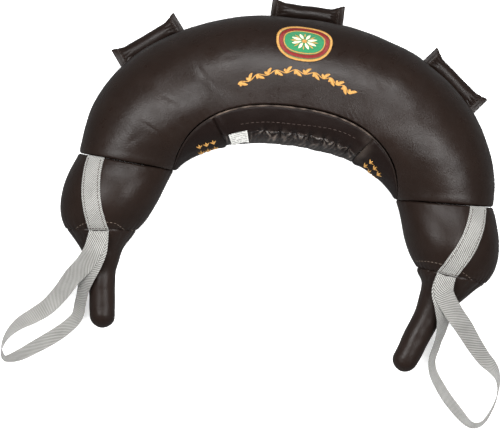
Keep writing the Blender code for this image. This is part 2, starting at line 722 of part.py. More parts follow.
def handle_hinge(frame):
    """How far out a handle's hinge line runs: just clear of its two tabs."""
    station, outer, along, out = frame
    reaches = []
    for end in (-1, 1):
        skin = bag_point(*side_place(frame, end * HANDLE_LENGTH / 2, HANDLE_HEIGHT))
        reaches.append((skin.xy - outer).dot(out))
    return max(reaches) + TAB_THICKNESS + 2 * GAP + FIN_HALF_THICKNESS


def add_handles(materials, collection):
    """Three padded leather handles, each pinched flat at its ends and hung on two sewn tabs."""
    for name in HANDLE_ANGLES:
        frame = handle_frame(name)
        hinge_out = handle_hinge(frame)
        centre_out = HANDLE_REACHES[name] - HANDLE_HALF_DEPTH
        fin_low = hinge_out - FIN_HALF_THICKNESS
        fin_high = HANDLE_REACHES[name] + FIN_FLARE
        axis = joint_empty(f"{name}_handle_axis", handle_place(frame, 0, hinge_out, HANDLE_HEIGHT), collection)

        def section(share, inset):
            """An oval ring that is pinched into a flat fin towards the handle's ends."""
            edge = max(0, (abs(share) - (1 - 2 * FIN_SHARE)) / (2 * FIN_SHARE))
            pinch = edge * edge * (3 - 2 * edge)
            middle_out = mix(centre_out, (fin_low + fin_high) / 2, pinch)
            half_out = mix(HANDLE_HALF_DEPTH, (fin_high - fin_low) / 2, pinch) - inset
            half_up = mix(HANDLE_HALF_DEPTH, FIN_HALF_THICKNESS, pinch) - inset
            return [handle_place(frame, share * HANDLE_LENGTH / 2,
                                 middle_out + half_out * math.cos(a),
                                 HANDLE_HEIGHT + half_up * math.sin(a))
                    for a in spread(0, 2 * math.pi, HANDLE_ROUND_STEPS)[:-1]]

        tube_shell(f"handle_cover_{name}", [section(share, 0) for share in COVER_SHARES], HANDLE_LEATHER,
                   materials["leather"], collection, axis)
        core = [section(share, HANDLE_LEATHER + GAP) for share in CORE_SHARES]
        finish(f"handle_core_{name}", loft_mesh(core), materials["wool"], collection, axis)
        add_tabs(name, frame, materials, collection)


def add_tabs(name, frame, materials, collection):
    """The two leather tabs that hold a handle to the bag's side."""
    for end_name, end in (("near", 1), ("far", -1)):
        middle = end * (HANDLE_LENGTH - TAB_LENGTH) / 2
        places = [[side_place(frame, middle + share * TAB_LENGTH, HANDLE_HEIGHT + rise * TAB_HEIGHT)
                   for rise in spread(-0.5, 0.5, 3)] for share in spread(-0.5, 0.5, 2)]
        skin_shell(f"handle_tab_{name}_{end_name}", places, -GAP - TAB_THICKNESS, TAB_THICKNESS,
                   materials["leather"], collection)


def add_marks(materials, collection):
    """The blank care label at the edge of the flap, and the embroidered badge on the crown."""
    station = LABEL_PLACE_SHARE
    top = angle_shift(station, flap_angle(station), -LABEL_WIDTH / 3)
    half = station_shift(station, top, LABEL_LENGTH / 2) - station
    anchor = skin_point(station, angle_shift(station, top, -LABEL_HINGE_SETBACK), -GAP)
    axis = joint_empty("care_label_axis", anchor, collection)
    places = skin_places(spread(station + half, station - half, 2),
                         lambda s: angle_shift(s, flap_angle(s), -LABEL_WIDTH / 3),
                         lambda s: angle_shift(s, flap_angle(s), LABEL_WIDTH * 2 / 3), 3)
    skin_shell("care_label", places, -GAP - LABEL_THICKNESS, LABEL_THICKNESS, materials["label"], collection, axis)

    half = station_shift(0, PATCH_ANGLE, PATCH_LENGTH / 2)
    half *= PATCH_LENGTH / 2 / (bag_point(half, PATCH_ANGLE) - bag_point(0, PATCH_ANGLE)).length
    places = []
    for share in spread(-1, 1, PATCH_STEPS):
        s = half * power(share, OUTER_FULLNESS / 2)
        reach = PATCH_WIDTH / 2 * max(PATCH_END_SHARE, math.sqrt(1 - abs(share) ** PATCH_FULLNESS))
        places.append([(s, angle_shift(s, PATCH_ANGLE, rise)) for rise in spread(-reach, reach, 4)])
    skin_shell("badge_patch", places, -GAP - PATCH_THICKNESS, PATCH_THICKNESS, materials["badge"], collection)


def main():
    for item in list(bpy.data.objects):
        bpy.data.objects.remove(item, do_unlink=True)
    collection = bpy.data.collections.new("bulgarian_bag")
    bpy.context.scene.collection.children.link(collection)
    materials = {
        "leather": plain_material("bag_leather", (0.022, 0.014, 0.012), 0.42),
        "welt": plain_material("welt_leather", (0.05, 0.03, 0.022), 0.5),
        "webbing": plain_material("grey_webbing", (0.38, 0.37, 0.35), 0.85),
        "wool": plain_material("wool_wadding", (0.55, 0.5, 0.42), 0.95),
        "sand": plain_material("sand_bag_cloth", (0.5, 0.4, 0.26), 0.95),
        "label": plain_material("label_cloth", (0.8, 0.8, 0.78), 0.8),
        "badge": plain_material("badge_twill", (0.08, 0.3, 0.12), 0.8),
    }
    add_crescent(materials, collection)
    add_gusset(materials, collection)
    add_welts(materials, collection)
    add_caps(materials, collection)
    add_filling(materials, collection)
    add_grips(materials, collection)
    add_runs(materials, collection)
    add_loops(materials, collection)
    add_handles(materials, collection)
    add_marks(materials, collection)


main()
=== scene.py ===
"""The looks of a crescent-shaped leather training bag: skins, seams, webbing, handles and embroidery."""
import math
from collections import namedtuple

import bpy
import numpy as np
from bpy.props import FloatProperty, FloatVectorProperty, PointerProperty
from bpy.types import Operator, Panel, PropertyGroup
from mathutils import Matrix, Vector
from mathutils.bvhtree import BVHTree


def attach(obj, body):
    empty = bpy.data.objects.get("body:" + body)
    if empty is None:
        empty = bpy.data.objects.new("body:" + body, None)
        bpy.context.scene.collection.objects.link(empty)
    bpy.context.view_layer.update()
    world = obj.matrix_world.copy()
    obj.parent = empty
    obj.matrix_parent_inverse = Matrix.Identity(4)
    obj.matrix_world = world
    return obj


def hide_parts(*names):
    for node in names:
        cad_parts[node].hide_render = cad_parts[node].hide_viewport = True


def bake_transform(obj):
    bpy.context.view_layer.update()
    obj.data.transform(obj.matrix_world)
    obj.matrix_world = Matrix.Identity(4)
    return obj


bl_info = {
    "name": "Leather training bag",
    "version": (1, 0, 0),
    "blender": (4, 5, 0),
    "location": "View3D > Sidebar > Training bag",
    "description": "Builds the skins, webbing, seams and embroidery of a crescent-shaped training bag",
    "category": "Add Mesh",
}

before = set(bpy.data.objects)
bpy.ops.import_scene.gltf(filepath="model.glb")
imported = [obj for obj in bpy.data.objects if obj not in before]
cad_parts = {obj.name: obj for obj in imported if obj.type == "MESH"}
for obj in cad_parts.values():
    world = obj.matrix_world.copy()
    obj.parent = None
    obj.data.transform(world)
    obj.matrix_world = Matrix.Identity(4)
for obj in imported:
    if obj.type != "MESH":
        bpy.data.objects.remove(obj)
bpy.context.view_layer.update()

# Shape of the bag's skin, in metres, as the solids have it
LEATHER = 0.003
GAP = 0.0004
SEAM_GAP = 0.0006
SECTION_FULLNESS = 2.2
TAIL_FULLNESS = 2.0
OUTER_HALF_SPAN = 0.324
OUTER_DEPTH = 0.252
OUTER_FULLNESS = 2.15
INNER_HALF_SPAN = 0.196
INNER_DEPTH = 0.125
INNER_SETBACK = 0.075
INNER_FULLNESS = 2.3
SPINE_DEPTH = 0.150
INNER_SEAM_ANGLE = math.radians(29)
CROWN_HALF_HEIGHT = 0.094
SEAM_HALF_HEIGHT = 0.069
BULB_HALF_HEIGHT = 0.071
NECK_HALF_HEIGHT = 0.050
CROWN_PRESS = 0.010
SEAM_PRESS = 0.008
BULB_PRESS = 0.006
NECK_LIFT = 0.009
HEIGHT_FALL_POWER = 2.2
CAP_LENGTH = 0.121
CAP_OUTER_SHARES = ((1.062, 0.37), (1.087, 0.76), (1.012, 0.992))
CAP_INNER_SHARES = ((0.587, 0.38), (0.611, 0.70), (0.679, 0.893))
GUSSET_TOP_ANGLE = math.radians(111)
GUSSET_END_ANGLE = math.radians(165)
GUSSET_REAR_ANGLE = math.radians(228)
GUSSET_POWER = 2.6
GUSSET_CENTRE_SHARE = 0.43
FLAP_WIDTH = 0.052
FLAP_OVERLAP = 0.007
PLEAT_STATIONS = (-0.143, -0.055, 0.0086, 0.084, 0.169, 0.25, 0.344)
OUTER_SEAM_ANGLE = math.radians(-38)

# Grips: each funnels down from the neck, bends once, and ends in a round tip
GRIP_HALF_WIDTH = 0.021
GRIP_TIP_HALF_WIDTH = 0.0195
GRIP_REACH = {"left": 0.157, "right": 0.172}
GRIP_BEND_SHARE = 0.4
GRIP_TURNS = {"left": (math.radians(8), math.radians(7.3)), "right": (math.radians(24), math.radians(17.5))}
GRIP_TIP_HEIGHT = 0.030
FUNNEL_SHARE = 0.5
FUNNEL_POWER = 1.5
GRIP_MEAN_RADIUS = 0.020
GRIP_ROOT_LENGTH = 0.042
GRIP_TUCKS = (0.006, 0.003)

# Webbing
WEBBING_WIDTH = 0.030
WEBBING_THICKNESS = 0.0018
WEBBING_LIFT = 0.0021
SELVAGE_INSET = 0.0012
SELVAGE_WIDTH = 0.0009
SELVAGE_HEIGHT = 0.00035
LOOP_START = 0.0026
RUN_ANGLES = {"left": (math.radians(54), math.radians(87)), "right": (math.radians(49), math.radians(99))}

# Routes of the loose loops: place in the plan from the middle of the neck, height above the ground,
# and turn of the webbing from flat, in degrees
LOOP_ROUTES = {
    "left": (
        (-0.0071, -0.0310, 0.1040, 3), (-0.0176, -0.0540, 0.0860, 8),
        (-0.0351, -0.0780, 0.0600, 14), (-0.0521, -0.1070, 0.0340, 22), (-0.0691, -0.1300, 0.0190, 29),
        (-0.0891, -0.1470, 0.0145, 38), (-0.1101, -0.1630, 0.0150, 52), (-0.1261, -0.1830, 0.0165, 70),
        (-0.1321, -0.2040, 0.0168, 86), (-0.1251, -0.2190, 0.0165, 104), (-0.1081, -0.2140, 0.0150, 122),
        (-0.0871, -0.2000, 0.0130, 131), (-0.0581, -0.1785, 0.0120, 136), (-0.0361, -0.1590, 0.0130, 134),
        (-0.0221, -0.1400, 0.0150, 130), (-0.0191, -0.1180, 0.0230, 133), (-0.0171, -0.0960, 0.0440, 142),
        (-0.0131, -0.0760, 0.0690, 153), (-0.0061, -0.0540, 0.0900, 165), (-0.0011, -0.0310, 0.1020, 175),
    ),
    "right": (
        (-0.0089, -0.0260, 0.1045, 3), (0.0081, -0.0520, 0.0880, 8),
        (0.0321, -0.0780, 0.0600, 14), (0.0511, -0.1010, 0.0350, 24), (0.0701, -0.1210, 0.0195, 36),
        (0.0871, -0.1360, 0.0155, 54), (0.0971, -0.1540, 0.0165, 76), (0.0981, -0.1770, 0.0168, 87),
        (0.0921, -0.2010, 0.0166, 92), (0.0801, -0.2230, 0.0165, 98), (0.0631, -0.2270, 0.0160, 110),
        (0.0421, -0.2110, 0.0150, 121), (0.0171, -0.1860, 0.0145, 123), (-0.0029, -0.1590, 0.0150, 119),
        (-0.0099, -0.1370, 0.0165, 114), (-0.0069, -0.1150, 0.0240, 118), (-0.0029, -0.0930, 0.0450, 129),
        (-0.0019, -0.0710, 0.0700, 145), (-0.0059, -0.0490, 0.0900, 160), (-0.0129, -0.0250, 0.1015, 174),
    ),
}

# Handles, with the flat fins at their ends and the hide pressed in behind them
HANDLE_ANGLES = {"left": math.radians(135.4), "top": math.radians(90), "right": math.radians(44.6)}
HANDLE_REACHES = {"left": 0.019, "top": 0.0225, "right": 0.019}
HANDLE_LENGTH = 0.114
HANDLE_HALF_DEPTH = 0.0125
HANDLE_HEIGHT = 0.028
FIN_HALF_THICKNESS = 0.0032
FIN_FLARE = 0.0065
FIN_SHARE = 0.2
HANDLE_PRESS_DEPTH = 0.0014
HANDLE_PRESS_REACH = 0.055
TAB_THICKNESS = 0.0025

# Label and badge: sizes and places, how far the badge stands off and swells, and how the label lifts,
# curls and waves towards its free edge
LABEL_LENGTH = 0.030
LABEL_WIDTH = 0.024
LABEL_PLACE_SHARE = -0.315
PATCH_LENGTH = 0.087
PATCH_WIDTH = 0.064
PATCH_ANGLE = math.radians(54)
PATCH_FULLNESS = 2.4
BADGE_LIFT = 0.0016
BADGE_SWELL = 0.0003
LABEL_LIFT = 0.0012
LABEL_CURL = 0.0050
LABEL_WAVE = 0.0007

# Steps for slopes and distances
SLOPE_SHARE = 0.002
ROUTE_SHARE = 0.004
ANGLE_STEP = math.radians(1)
TINY = 1e-9

# Probes that lay threads on a skin: how far off they start and how far they reach, the height from
# which they fall, and the height near which a fall that misses finds the closest skin
PROBE_RISE = 0.02
PROBE_REACH = 0.05
DROP_HEIGHT = 0.4
MISS_HEIGHT = 0.08

# Rows of stitches: how far the flap's topstitch runs below the welt and how much nearer it comes to the
# right, the pleat stitches above the flap's edge, the closure's row below it, the rows beside the
# webbing's middle and across its end, and the rows on a handle, as shares of its half length
TOPSTITCH_BELOW = 0.0290
TOPSTITCH_RISE = 0.0085
PIN_STITCH_ABOVE = 0.0035
CLOSURE_STITCH_BELOW = 0.019
STRAP_ROW_OFFSET = 0.0112
STRAP_ROW_HALF = 0.0125
STRAP_ROW_END = 0.962
HANDLE_ROWS = (-0.80, -0.845, 0.80, 0.845)

# Heights of threads above what they are sewn on
FINE_STITCH_LIFT = 0.0002
STITCH_LIFT = 0.0003
STEM_LIFT = 0.0004
LEAF_LIFT = 0.0005

SIDES = (("left", -1), ("right", 1))

# Places that are read in the plan, in millimetres from the origin
BAND_ROUTE = ((-92, -15), (-66, 1), (-34, 12.5), (0, 16.6), (34, 14), (60, 6), (82, -6))
MARK_ROUTES = {"left": ((-141, -123), (-113, -110)), "right": ((120, -106), (140, -129))}
NECK_LINES = {
    "left": ((-314, -268), (-304, -259.5), (-291, -254), (-259, -250.5), (-246, -254), (-231, -264)),
    "right": ((216, -248), (230, -246.5), (249, -247), (280, -253), (297, -260), (314, -272)),
}

# Full waves of the scroll along its route, with two groups of leaves each
SCROLL_WAVES = 7

# Soft creases in the plan: two ends, half width and depth, in millimetres. They stay on the upper side
CREASE_LEAST_HEIGHT = 0.07
CREASES = (
    (-205, -47, -176, -55, 2.4, 0.7), (-234, -90, -204, -104, 3.0, 0.6), (-162, 8, -144, -8, 3.2, 0.9),
    (-150, -6, -128, -30, 4.0, 0.6), (-28, 58, -20, 38, 2.6, 0.6), (-120, 22, -98, 30, 4.0, 0.5),
    (118, 20, 140, 2, 4.0, 0.6), (186, -28, 214, -34, 3.0, 0.7), (205, -60, 236, -78, 3.4, 0.6),
    (246, -98, 262, -128, 4.2, 0.5), (-250, -128, -232, -112, 3.2, 0.6), (150, 40, 172, 22, 3.2, 0.5),
)

# How skins roll in at their seams: width and depth of each roll
CAP_SEAM_ROLL = (0.0036, 0.0022)
FRONT_WELT_ROLL = (0.0032, 0.0036)
OUTER_SEAM_ROLL = (0.008, 0.0024)
REAR_WELT_ROLL = (0.008, 0.0022)
GUSSET_WELT_ROLL = (0.003, 0.0010)
CROSS_SEAM_ROLL = (0.0045, 0.0028)
WEDGE_REAR_ROLL = (0.007, 0.0020)
FLAP_EDGE_ROLL = (0.004, 0.0014)
NECK_ROLL = (0.004, 0.0013)
CAP_SIDE_ROLL = (0.005, 0.0010)
GRIP_ROOT_ROLL = (0.004, 0.0010)
GRIP_SEAM_ROLL = (0.004, 0.0012)

# Puckers along seams, where the thread draws the hide in: pitch, depth, how far they reach from the
# seam, and the size and strength of the lumps that unsettle their pace
CAP_SEAM_PUCKER = (0.013, 0.0002, 0.011, 0.03, 2.2)
FRONT_WELT_PUCKER = (0.011, 0.00035, 0.009, 0.04, 2.0)
CAP_PUCKER = (0.012, 0.0003, 0.010, 0.03, 2.5)
PUCKER_SHIFT = 0.2

# Ridges of hide beside seams: distance of the top from the seam, width and height
CAP_SEAM_RIDGE = (0.008, 0.006, 0.0005)
WEDGE_RIDGE = (0.0075, 0.0045, 0.0009)
FLAP_RIDGE = (0.0075, 0.0045, 0.0011)

# Gathers, where hide is drawn in by a thread: how many folds go half round or how far apart they are,
# their depth, and how far they reach from the thread
NECK_FOLD_PITCH = 0.021
NECK_FOLD_DEPTH = 0.0016
NECK_FOLD_REACH = 0.012
GRIP_FOLDS = 8
GRIP_FOLD_DEPTH = 0.0021
GRIP_FOLD_REACH = 0.022
HANDLE_FOLDS = 5
HANDLE_FOLD_BAND = (0.70, 0.13, 0.0019)
HANDLE_SEWN_LINE = (0.825, 0.022, 0.0009)

# Pleats: how deep and how far they pinch the flap, the fans of folds below them as reach, rays and depth,
# and how deep the closure dips under the flap, sinks at a pleat and swells between two
FLAP_PINCH_DEPTH = 0.0052
FLAP_PINCH_REACH = 0.009
FLAP_FAN = (0.006, 4.0, 0.0006)
CLOSURE_FAN = (0.010, 8.0, 0.0011)
CLOSURE_DIP = 0.0038
CLOSURE_FURROW = 0.0040
CLOSURE_SWELL = 0.0006
CLOSURE_WRINKLE = 0.0005

# Lumps of stuffed hide, from wide to small
WIDE_DENT = 0.075
MIDDLE_DENT = 0.036
SMALL_DENT = 0.021

# Skins: their thicknesses, their least height above the ground, half the room for a welt, the welt's
# shift round the section, depth and end, and the station at which the panels end beside the caps
SKIN_THICKNESS = 0.0024
GUSSET_THICKNESS = 0.0022
CLOSURE_THICKNESS = 0.0014
BADGE_THICKNESS = 0.0013
LABEL_TAPE_THICKNESS = 0.0006
SKIN_CLEARANCE = 0.0004
HALF_WELT = 0.0017
WELT_SHIFT = 0.0006
WELT_DEPTH = 0.0010
WELT_END = 0.998
BODY_END = 0.9999

# Dents fade out over the lowest stretch, where the bag lies on the ground
GROUND_FADE = 0.03

# Metres of gusset for one station, and the mean radius of a cap, which turn shares into lengths
STATION_LENGTH = 0.29
CAP_MEAN_RADIUS = 0.065

# Patterns of the finishes, in metres. Grain, yarns and rules are drawn about twice as coarse as real,
# so that they still show
CLOUD_SIZE = 0.0455
GLOSS_PATCH_SIZE = 0.01667
GRAIN_SIZE = 0.00161
GRAIN_DEPTH = 0.0004
FOLD_SIZE = 0.01053
FOLD_DEPTH = 0.0012
YARN_PITCH = 0.0016
GRIME_SIZE = 0.025
RULE_PITCH = 0.0036
RULE_GAP_SIZE = 0.00385
THREAD_TONE_SIZE = 0.00238

# Ribs of the woven pieces: pitch and depth
LOOSE_WEBBING_RIB = (0.0040, 0.0009)
SEWN_WEBBING_RIB = (0.0032, 0.0006)
BADGE_RIB = (0.0011, 0.0002)
TAPE_RIB = (0.0008, 0.0001)

# Nodes of the finishes
NOISE = "ShaderNodeTexNoise"
MIX = "ShaderNodeMix"
BUMP = "ShaderNodeBump"
MATHS = "ShaderNodeMath"

# Studio: each softbox has its place, width, depth and watts
FLOOR_REACH = 6.0
FLOOR_WHITE = 0.93
FLOOR_IN_GLOSS = 0.12
FLOOR_GLOW = 0.60
SURROUND_STRENGTH = 0.10
LIT_PLACE = (0.0, -0.2, 0.05)
SOFTBOXES = (
    ("softbox_crown", (0.0, 0.80, 2.10), 2.2, 0.9, 62.0),
    ("softbox_left", (-1.10, -0.68, 2.10), 0.9, 1.3, 43.0),
    ("softbox_right", (1.06, -0.68, 2.10), 1.0, 1.3, 40.0),
)
CAMERA_LENS = 371.6
CAMERA_PLACE = (-0.048, -0.211, 8.09)
CAMERA_TURN = math.radians(7.5)

# A grid on the bag's skin: stations and angles of its points, the points, their distances from the four
# edges, and how deep each is pressed in
Sheet = namedtuple("Sheet", "places angles base start end first last depth", defaults=(None,))


def linear(code):
    """A linear colour from an sRGB hex code."""
    parts = [int(code[i:i + 2], 16) / 255 for i in (1, 3, 5)]
    return tuple(p / 12.92 if p <= 0.04045 else ((p + 0.055) / 1.055) ** 2.4 for p in parts)


def mix(a, b, share):
    return a + (b - a) * share


def power(value, exponent):
    """A signed power, for the fuller-than-round outlines."""
    return np.sign(value) * np.abs(value) ** exponent


def smooth(value):
    """A soft step from 0 to 1."""
    held = np.clip(value, 0, 1)
    return held * held * (3 - 2 * held)


def outline(station):
    """The outer and inner points of the plan: 0 at the crown, 1 at a cap seam, 2 at a neck."""
    station = np.asarray(station, float)
    side = np.where(station < 0, -1.0, 1.0)[..., None]

    def body(along):
        turn = np.pi / 2 * (1 - along)
        inner_turn = mix(np.pi / 2, INNER_SEAM_ANGLE, along)
        outer = np.stack([OUTER_HALF_SPAN * power(np.cos(turn), 2 / OUTER_FULLNESS),
                          OUTER_DEPTH * power(np.sin(turn), 2 / OUTER_FULLNESS) - SPINE_DEPTH], -1)
        inner = np.stack([INNER_HALF_SPAN * power(np.cos(inner_turn), 2 / INNER_FULLNESS),
                          INNER_DEPTH * power(np.sin(inner_turn), 2 / INNER_FULLNESS)
                          - INNER_SETBACK - SPINE_DEPTH], -1)
        return outer, inner

    made = []
    share = np.maximum(0, np.abs(station) - 1)[..., None]
    rest = 1 - share
    for points, seam, knots in zip(body(np.minimum(1, np.abs(station))), body(np.float64(1)),
                                   (CAP_OUTER_SHARES, CAP_INNER_SHARES)):
        a, b, c = (np.array([x * OUTER_HALF_SPAN, -y * CAP_LENGTH - SPINE_DEPTH]) for x, y in knots)
        cap = seam * rest ** 3 + 3 * a * rest * rest * share + 3 * b * rest * share * share + c * share ** 3
        points = np.where(share > 0, cap, points)
        made.append(np.concatenate([points[..., :1] * side, points[..., 1:]], -1))
    return made


def heights(station):
    """The half height of the section at a station, and the height of its middle."""
    along = np.abs(np.asarray(station, float))
    fall = np.minimum(1, along) ** HEIGHT_FALL_POWER
    half = mix(CROWN_HALF_HEIGHT, SEAM_HALF_HEIGHT, fall)
    lift = -mix(CROWN_PRESS, SEAM_PRESS, fall)
    share = np.maximum(0, along - 1)
    weights = ((1 - share) ** 2, 2 * share * (1 - share), share ** 2)
    middle = 2 * BULB_HALF_HEIGHT - (SEAM_HALF_HEIGHT + NECK_HALF_HEIGHT) / 2
    middle_lift = -2 * BULB_PRESS - (NECK_LIFT - SEAM_PRESS) / 2
    cap_half = sum(w * v for w, v in zip(weights, (SEAM_HALF_HEIGHT, middle, NECK_HALF_HEIGHT)))
    cap_lift = sum(w * v for w, v in zip(weights, (-SEAM_PRESS, middle_lift, NECK_LIFT)))
    half = np.where(share > 0, cap_half, half)
    return half, half + np.where(share > 0, cap_lift, lift)


def bag_point(station, angle):
    """A point on the bag's skin. The angle runs from the outer side over the top."""
    station, angle = np.broadcast_arrays(np.asarray(station, float), np.asarray(angle, float))
    outer, inner = outline(station)
    half, middle = heights(station)
    fullness = mix(SECTION_FULLNESS, TAIL_FULLNESS, np.maximum(0, np.abs(station) - 1))
    across = power(np.cos(angle), 2 / fullness) / 2
    up = power(np.sin(angle), 2 / fullness)
    plan = (outer + inner) / 2 + (outer - inner) * across[..., None]
    return np.concatenate([plan, np.maximum(0, middle + half * up)[..., None]], -1)


def length(vectors):
    return np.linalg.norm(vectors, axis=-1, keepdims=True)


def unit(vectors):
    return vectors / np.maximum(TINY, length(vectors))


def bag_normal(station, angle):
    """The direction out of the skin."""
    station, angle = np.broadcast_arrays(np.asarray(station, float), np.asarray(angle, float))
    low, high = station - SLOPE_SHARE, station + SLOPE_SHARE
    in_body = np.abs(station) <= 1
    low = np.where(in_body, np.maximum(-1, low), np.where(station > 0, np.maximum(1, low), low))
    high = np.where(in_body, np.minimum(1, high), np.where(station < 0, np.minimum(-1, high), high))
    lengthwise = bag_point(high, angle) - bag_point(low, angle)
    around = bag_point(station, angle + SLOPE_SHARE) - bag_point(station, angle - SLOPE_SHARE)
    normal = np.cross(around, lengthwise)
    flat = length(normal) < TINY
    upright = np.stack([0 * angle, 0 * angle, np.sign(np.sin(angle))], -1)
    return unit(np.where(flat, upright, normal))


def angle_shift(station, angle, distance):
    """The angle that lies a distance further round the section."""
    span = length(bag_point(station, angle + ANGLE_STEP) - bag_point(station, angle - ANGLE_STEP))[..., 0]
    return angle + distance * 2 * ANGLE_STEP / np.maximum(span, TINY)


def station_shift(station, angle, distance):
    """The station that lies a distance further from the crown, or nearer where it is negative."""
    step = np.copysign(ROUTE_SHARE, np.asarray(station * distance))
    span = length(bag_point(station + step, angle) - bag_point(station, angle))[..., 0]
    return station + step * np.abs(distance) / span


def gusset_angle(station):
    return mix(GUSSET_TOP_ANGLE, GUSSET_END_ANGLE, np.minimum(1, np.abs(station)) ** GUSSET_POWER)


def rear_angle(station):
    share = np.minimum(1, np.abs(station)) ** GUSSET_POWER
    return mix(GUSSET_REAR_ANGLE, 2 * math.pi - GUSSET_END_ANGLE, share)


def flap_angle(station):
    return angle_shift(station, gusset_angle(station), FLAP_WIDTH)


def soft_noise(points, size, seed):
    """A smooth uneven field between about -1 and 1, whose lumps have a given size."""
    dice = np.random.default_rng(seed)
    total = np.zeros(points.shape[:-1])
    for _ in range(10):
        direction = unit(dice.normal(size=3))
        pace = 2 * math.pi / (size * dice.uniform(1.3, 3.0))
        total += np.sin(points @ direction * pace + dice.uniform(0, 2 * math.pi))
    return total / 4


def side_distances(grid):
    """How far each point of a grid lies from its first and last rows and columns, along the sheet."""
    reaches = []
    for axis in (0, 1):
        steps = np.cumsum(length(np.diff(grid, axis=axis))[..., 0], axis)
        reach = np.insert(steps, 0, 0, axis)
        reaches += [reach, np.take(reach, [-1], axis) - reach]
    return reaches


def crease_depth(points, creases):
    """How deep soft creases, given in the plan in millimetres, press in at each point."""
    total = np.zeros(points.shape[:-1])
    for x0, y0, x1, y1, width, depth in creases:
        start, end = np.array([x0, y0]) / 1000, np.array([x1, y1]) / 1000
        run = end - start
        share = np.clip(((points[..., :2] - start) @ run) / (run @ run), 0, 1)
        away = length(points[..., :2] - (start + share[..., None] * run))[..., 0]
        fade = np.sin(np.pi * np.clip(share, 0.08, 0.92)) ** 0.6
        total += depth / 1000 * fade * np.exp(-(away / (width / 1000)) ** 2)
    return total * (points[..., 2] > CREASE_LEAST_HEIGHT)


def roll_in(distance, width, depth):
    """How deep an edge rolls in towards its seam."""
    return depth * (1 - np.clip(distance / width, 0, 1)) ** 2


def bead(distance, place, width, height=1.0):
    """A rounded ridge whose top lies at a place."""
    return height * np.exp(-((distance - place) / width) ** 2)


def pucker(run, away, points, seed, pitch, depth, reach, lump, uneven):
    """Waves along a seam, where its thread draws the hide in. Their pace wanders, and they fade away."""
    waves = np.sin(run * 2 * np.pi / pitch + soft_noise(points, lump, seed) * uneven)
    return waves * depth * np.exp(-away / reach)


def folds(turn):
    """Sharp folds of gathered hide: 1 at each fold, every half turn, and 0 midway between two."""
    return (1 - np.abs(np.sin(turn))) ** 2


def make_object(name, points, faces, material, uv=None):
    """A smooth piece from points and faces, with its finish and the places of its pattern."""
    mesh = bpy.data.meshes.new(name)
    mesh.from_pydata([tuple(p) for p in points], [], [tuple(int(i) for i in f) for f in faces])
    if uv is not None:
        layer = mesh.uv_layers.new(name="UVMap")
        corner = np.zeros(len(mesh.loops), np.int32)
        mesh.loops.foreach_get("vertex_index", corner)
        layer.data.foreach_set("uv", np.asarray(uv, np.float32)[corner].ravel())
    mesh.materials.append(material)
    mesh.validate()
    mesh.shade_smooth()
    mesh.set_sharp_from_angle(angle=math.radians(55))
    item = bpy.data.objects.new(name, mesh)
    bpy.context.scene.collection.objects.link(item)
    return item


def quads(rows, columns, wrap=False):
    """The corners of each cell of a grid."""
    i, j = np.meshgrid(np.arange(rows - 1), np.arange(columns if wrap else columns - 1), indexing="ij")
    k = (j + 1) % columns
    near, far = i * columns, (i + 1) * columns
    return np.stack([near + j, near + k, far + k, far + j], -1).reshape(-1, 4)


def rides(item, body, nodes=()):
    """Hangs a piece on its body, and hides the solid parts that it stands for."""
    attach(item, body)
    if nodes:
        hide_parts(*nodes)
    return item


def sheet_object(name, top, normals, thickness, material, uv=None):
    """A closed sheet: its outer grid, an inner grid below it, and its four edges."""
    rows, columns = top.shape[:2]
    count = rows * columns
    outer = quads(rows, columns)
    first = outer[len(outer) // 2]
    a, b, c = top.reshape(-1, 3)[first[:3]]
    turned = np.dot(np.cross(b - a, c - a), normals.reshape(-1, 3)[first[0]]) < 0
    if turned:
        outer = outer[:, ::-1]
    inner = outer[:, ::-1] + count
    index = np.arange(count).reshape(rows, columns)
    border = np.concatenate([index[0, :], index[1:, -1], index[-1, -2::-1], index[-2:0:-1, 0]])
    following = np.roll(border, -1)
    rim = np.stack([border, border + count, following + count, following], -1)
    if not turned:
        rim = rim[:, ::-1]
    points = np.concatenate([top.reshape(-1, 3), (top - normals * thickness).reshape(-1, 3)])
    if uv is not None:
        uv = np.concatenate([uv.reshape(-1, 2)] * 2)
    return make_object(name, points, np.concatenate([outer, inner, rim]), material, uv)


def tube_object(name, rings, material, uv=None):
    """A closed sleeve through rings of points, with its two ends drawn together."""
    rows, columns = rings.shape[:2]
    faces = quads(rows, columns, wrap=True)
    middle = rings[rows // 2].mean(0)
    a, b, c = rings.reshape(-1, 3)[faces[(rows // 2) * columns][:3]]
    flip = np.dot(np.cross(b - a, c - a), a - middle) < 0
    points = np.concatenate([rings.reshape(-1, 3), rings[:1].mean(1), rings[-1:].mean(1)])
    faces = [tuple(f[::-1]) if flip else tuple(f) for f in faces]
    for j in range(columns):
        k = (j + 1) % columns
        low = (rows * columns, k, j)
        high = (rows * columns + 1, (rows - 1) * columns + j, (rows - 1) * columns + k)
        faces += [low[::-1], high[::-1]] if flip else [low, high]
    if uv is not None:
        uv = np.concatenate([uv.reshape(-1, 2), uv[0, :1], uv[-1, :1]])
    return make_object(name, points, faces, material, uv)


def surface_of(*items):
    """A search tree over the outer faces of some pieces."""
    points, faces = [], []
    for item in items:
        start = len(points)
        points += [v.co.copy() for v in item.data.vertices]
        faces += [tuple(start + i for i in p.vertices) for p in item.data.polygons]
    return BVHTree.FromPolygons(points, faces)


def drop_on(tree, points, normals, lift):
    """Moves points along their normals on to a surface, and a little above it."""
    flat, ways = points.reshape(-1, 3), normals.reshape(-1, 3)
    landed = np.array(flat)
    for i, (p, n) in enumerate(zip(flat, ways)):
        hit = tree.ray_cast(Vector(p + n * PROBE_RISE), Vector(-n), PROBE_REACH)[0]
        landed[i] = hit if hit is not None else p
    return (landed + ways * lift).reshape(points.shape)


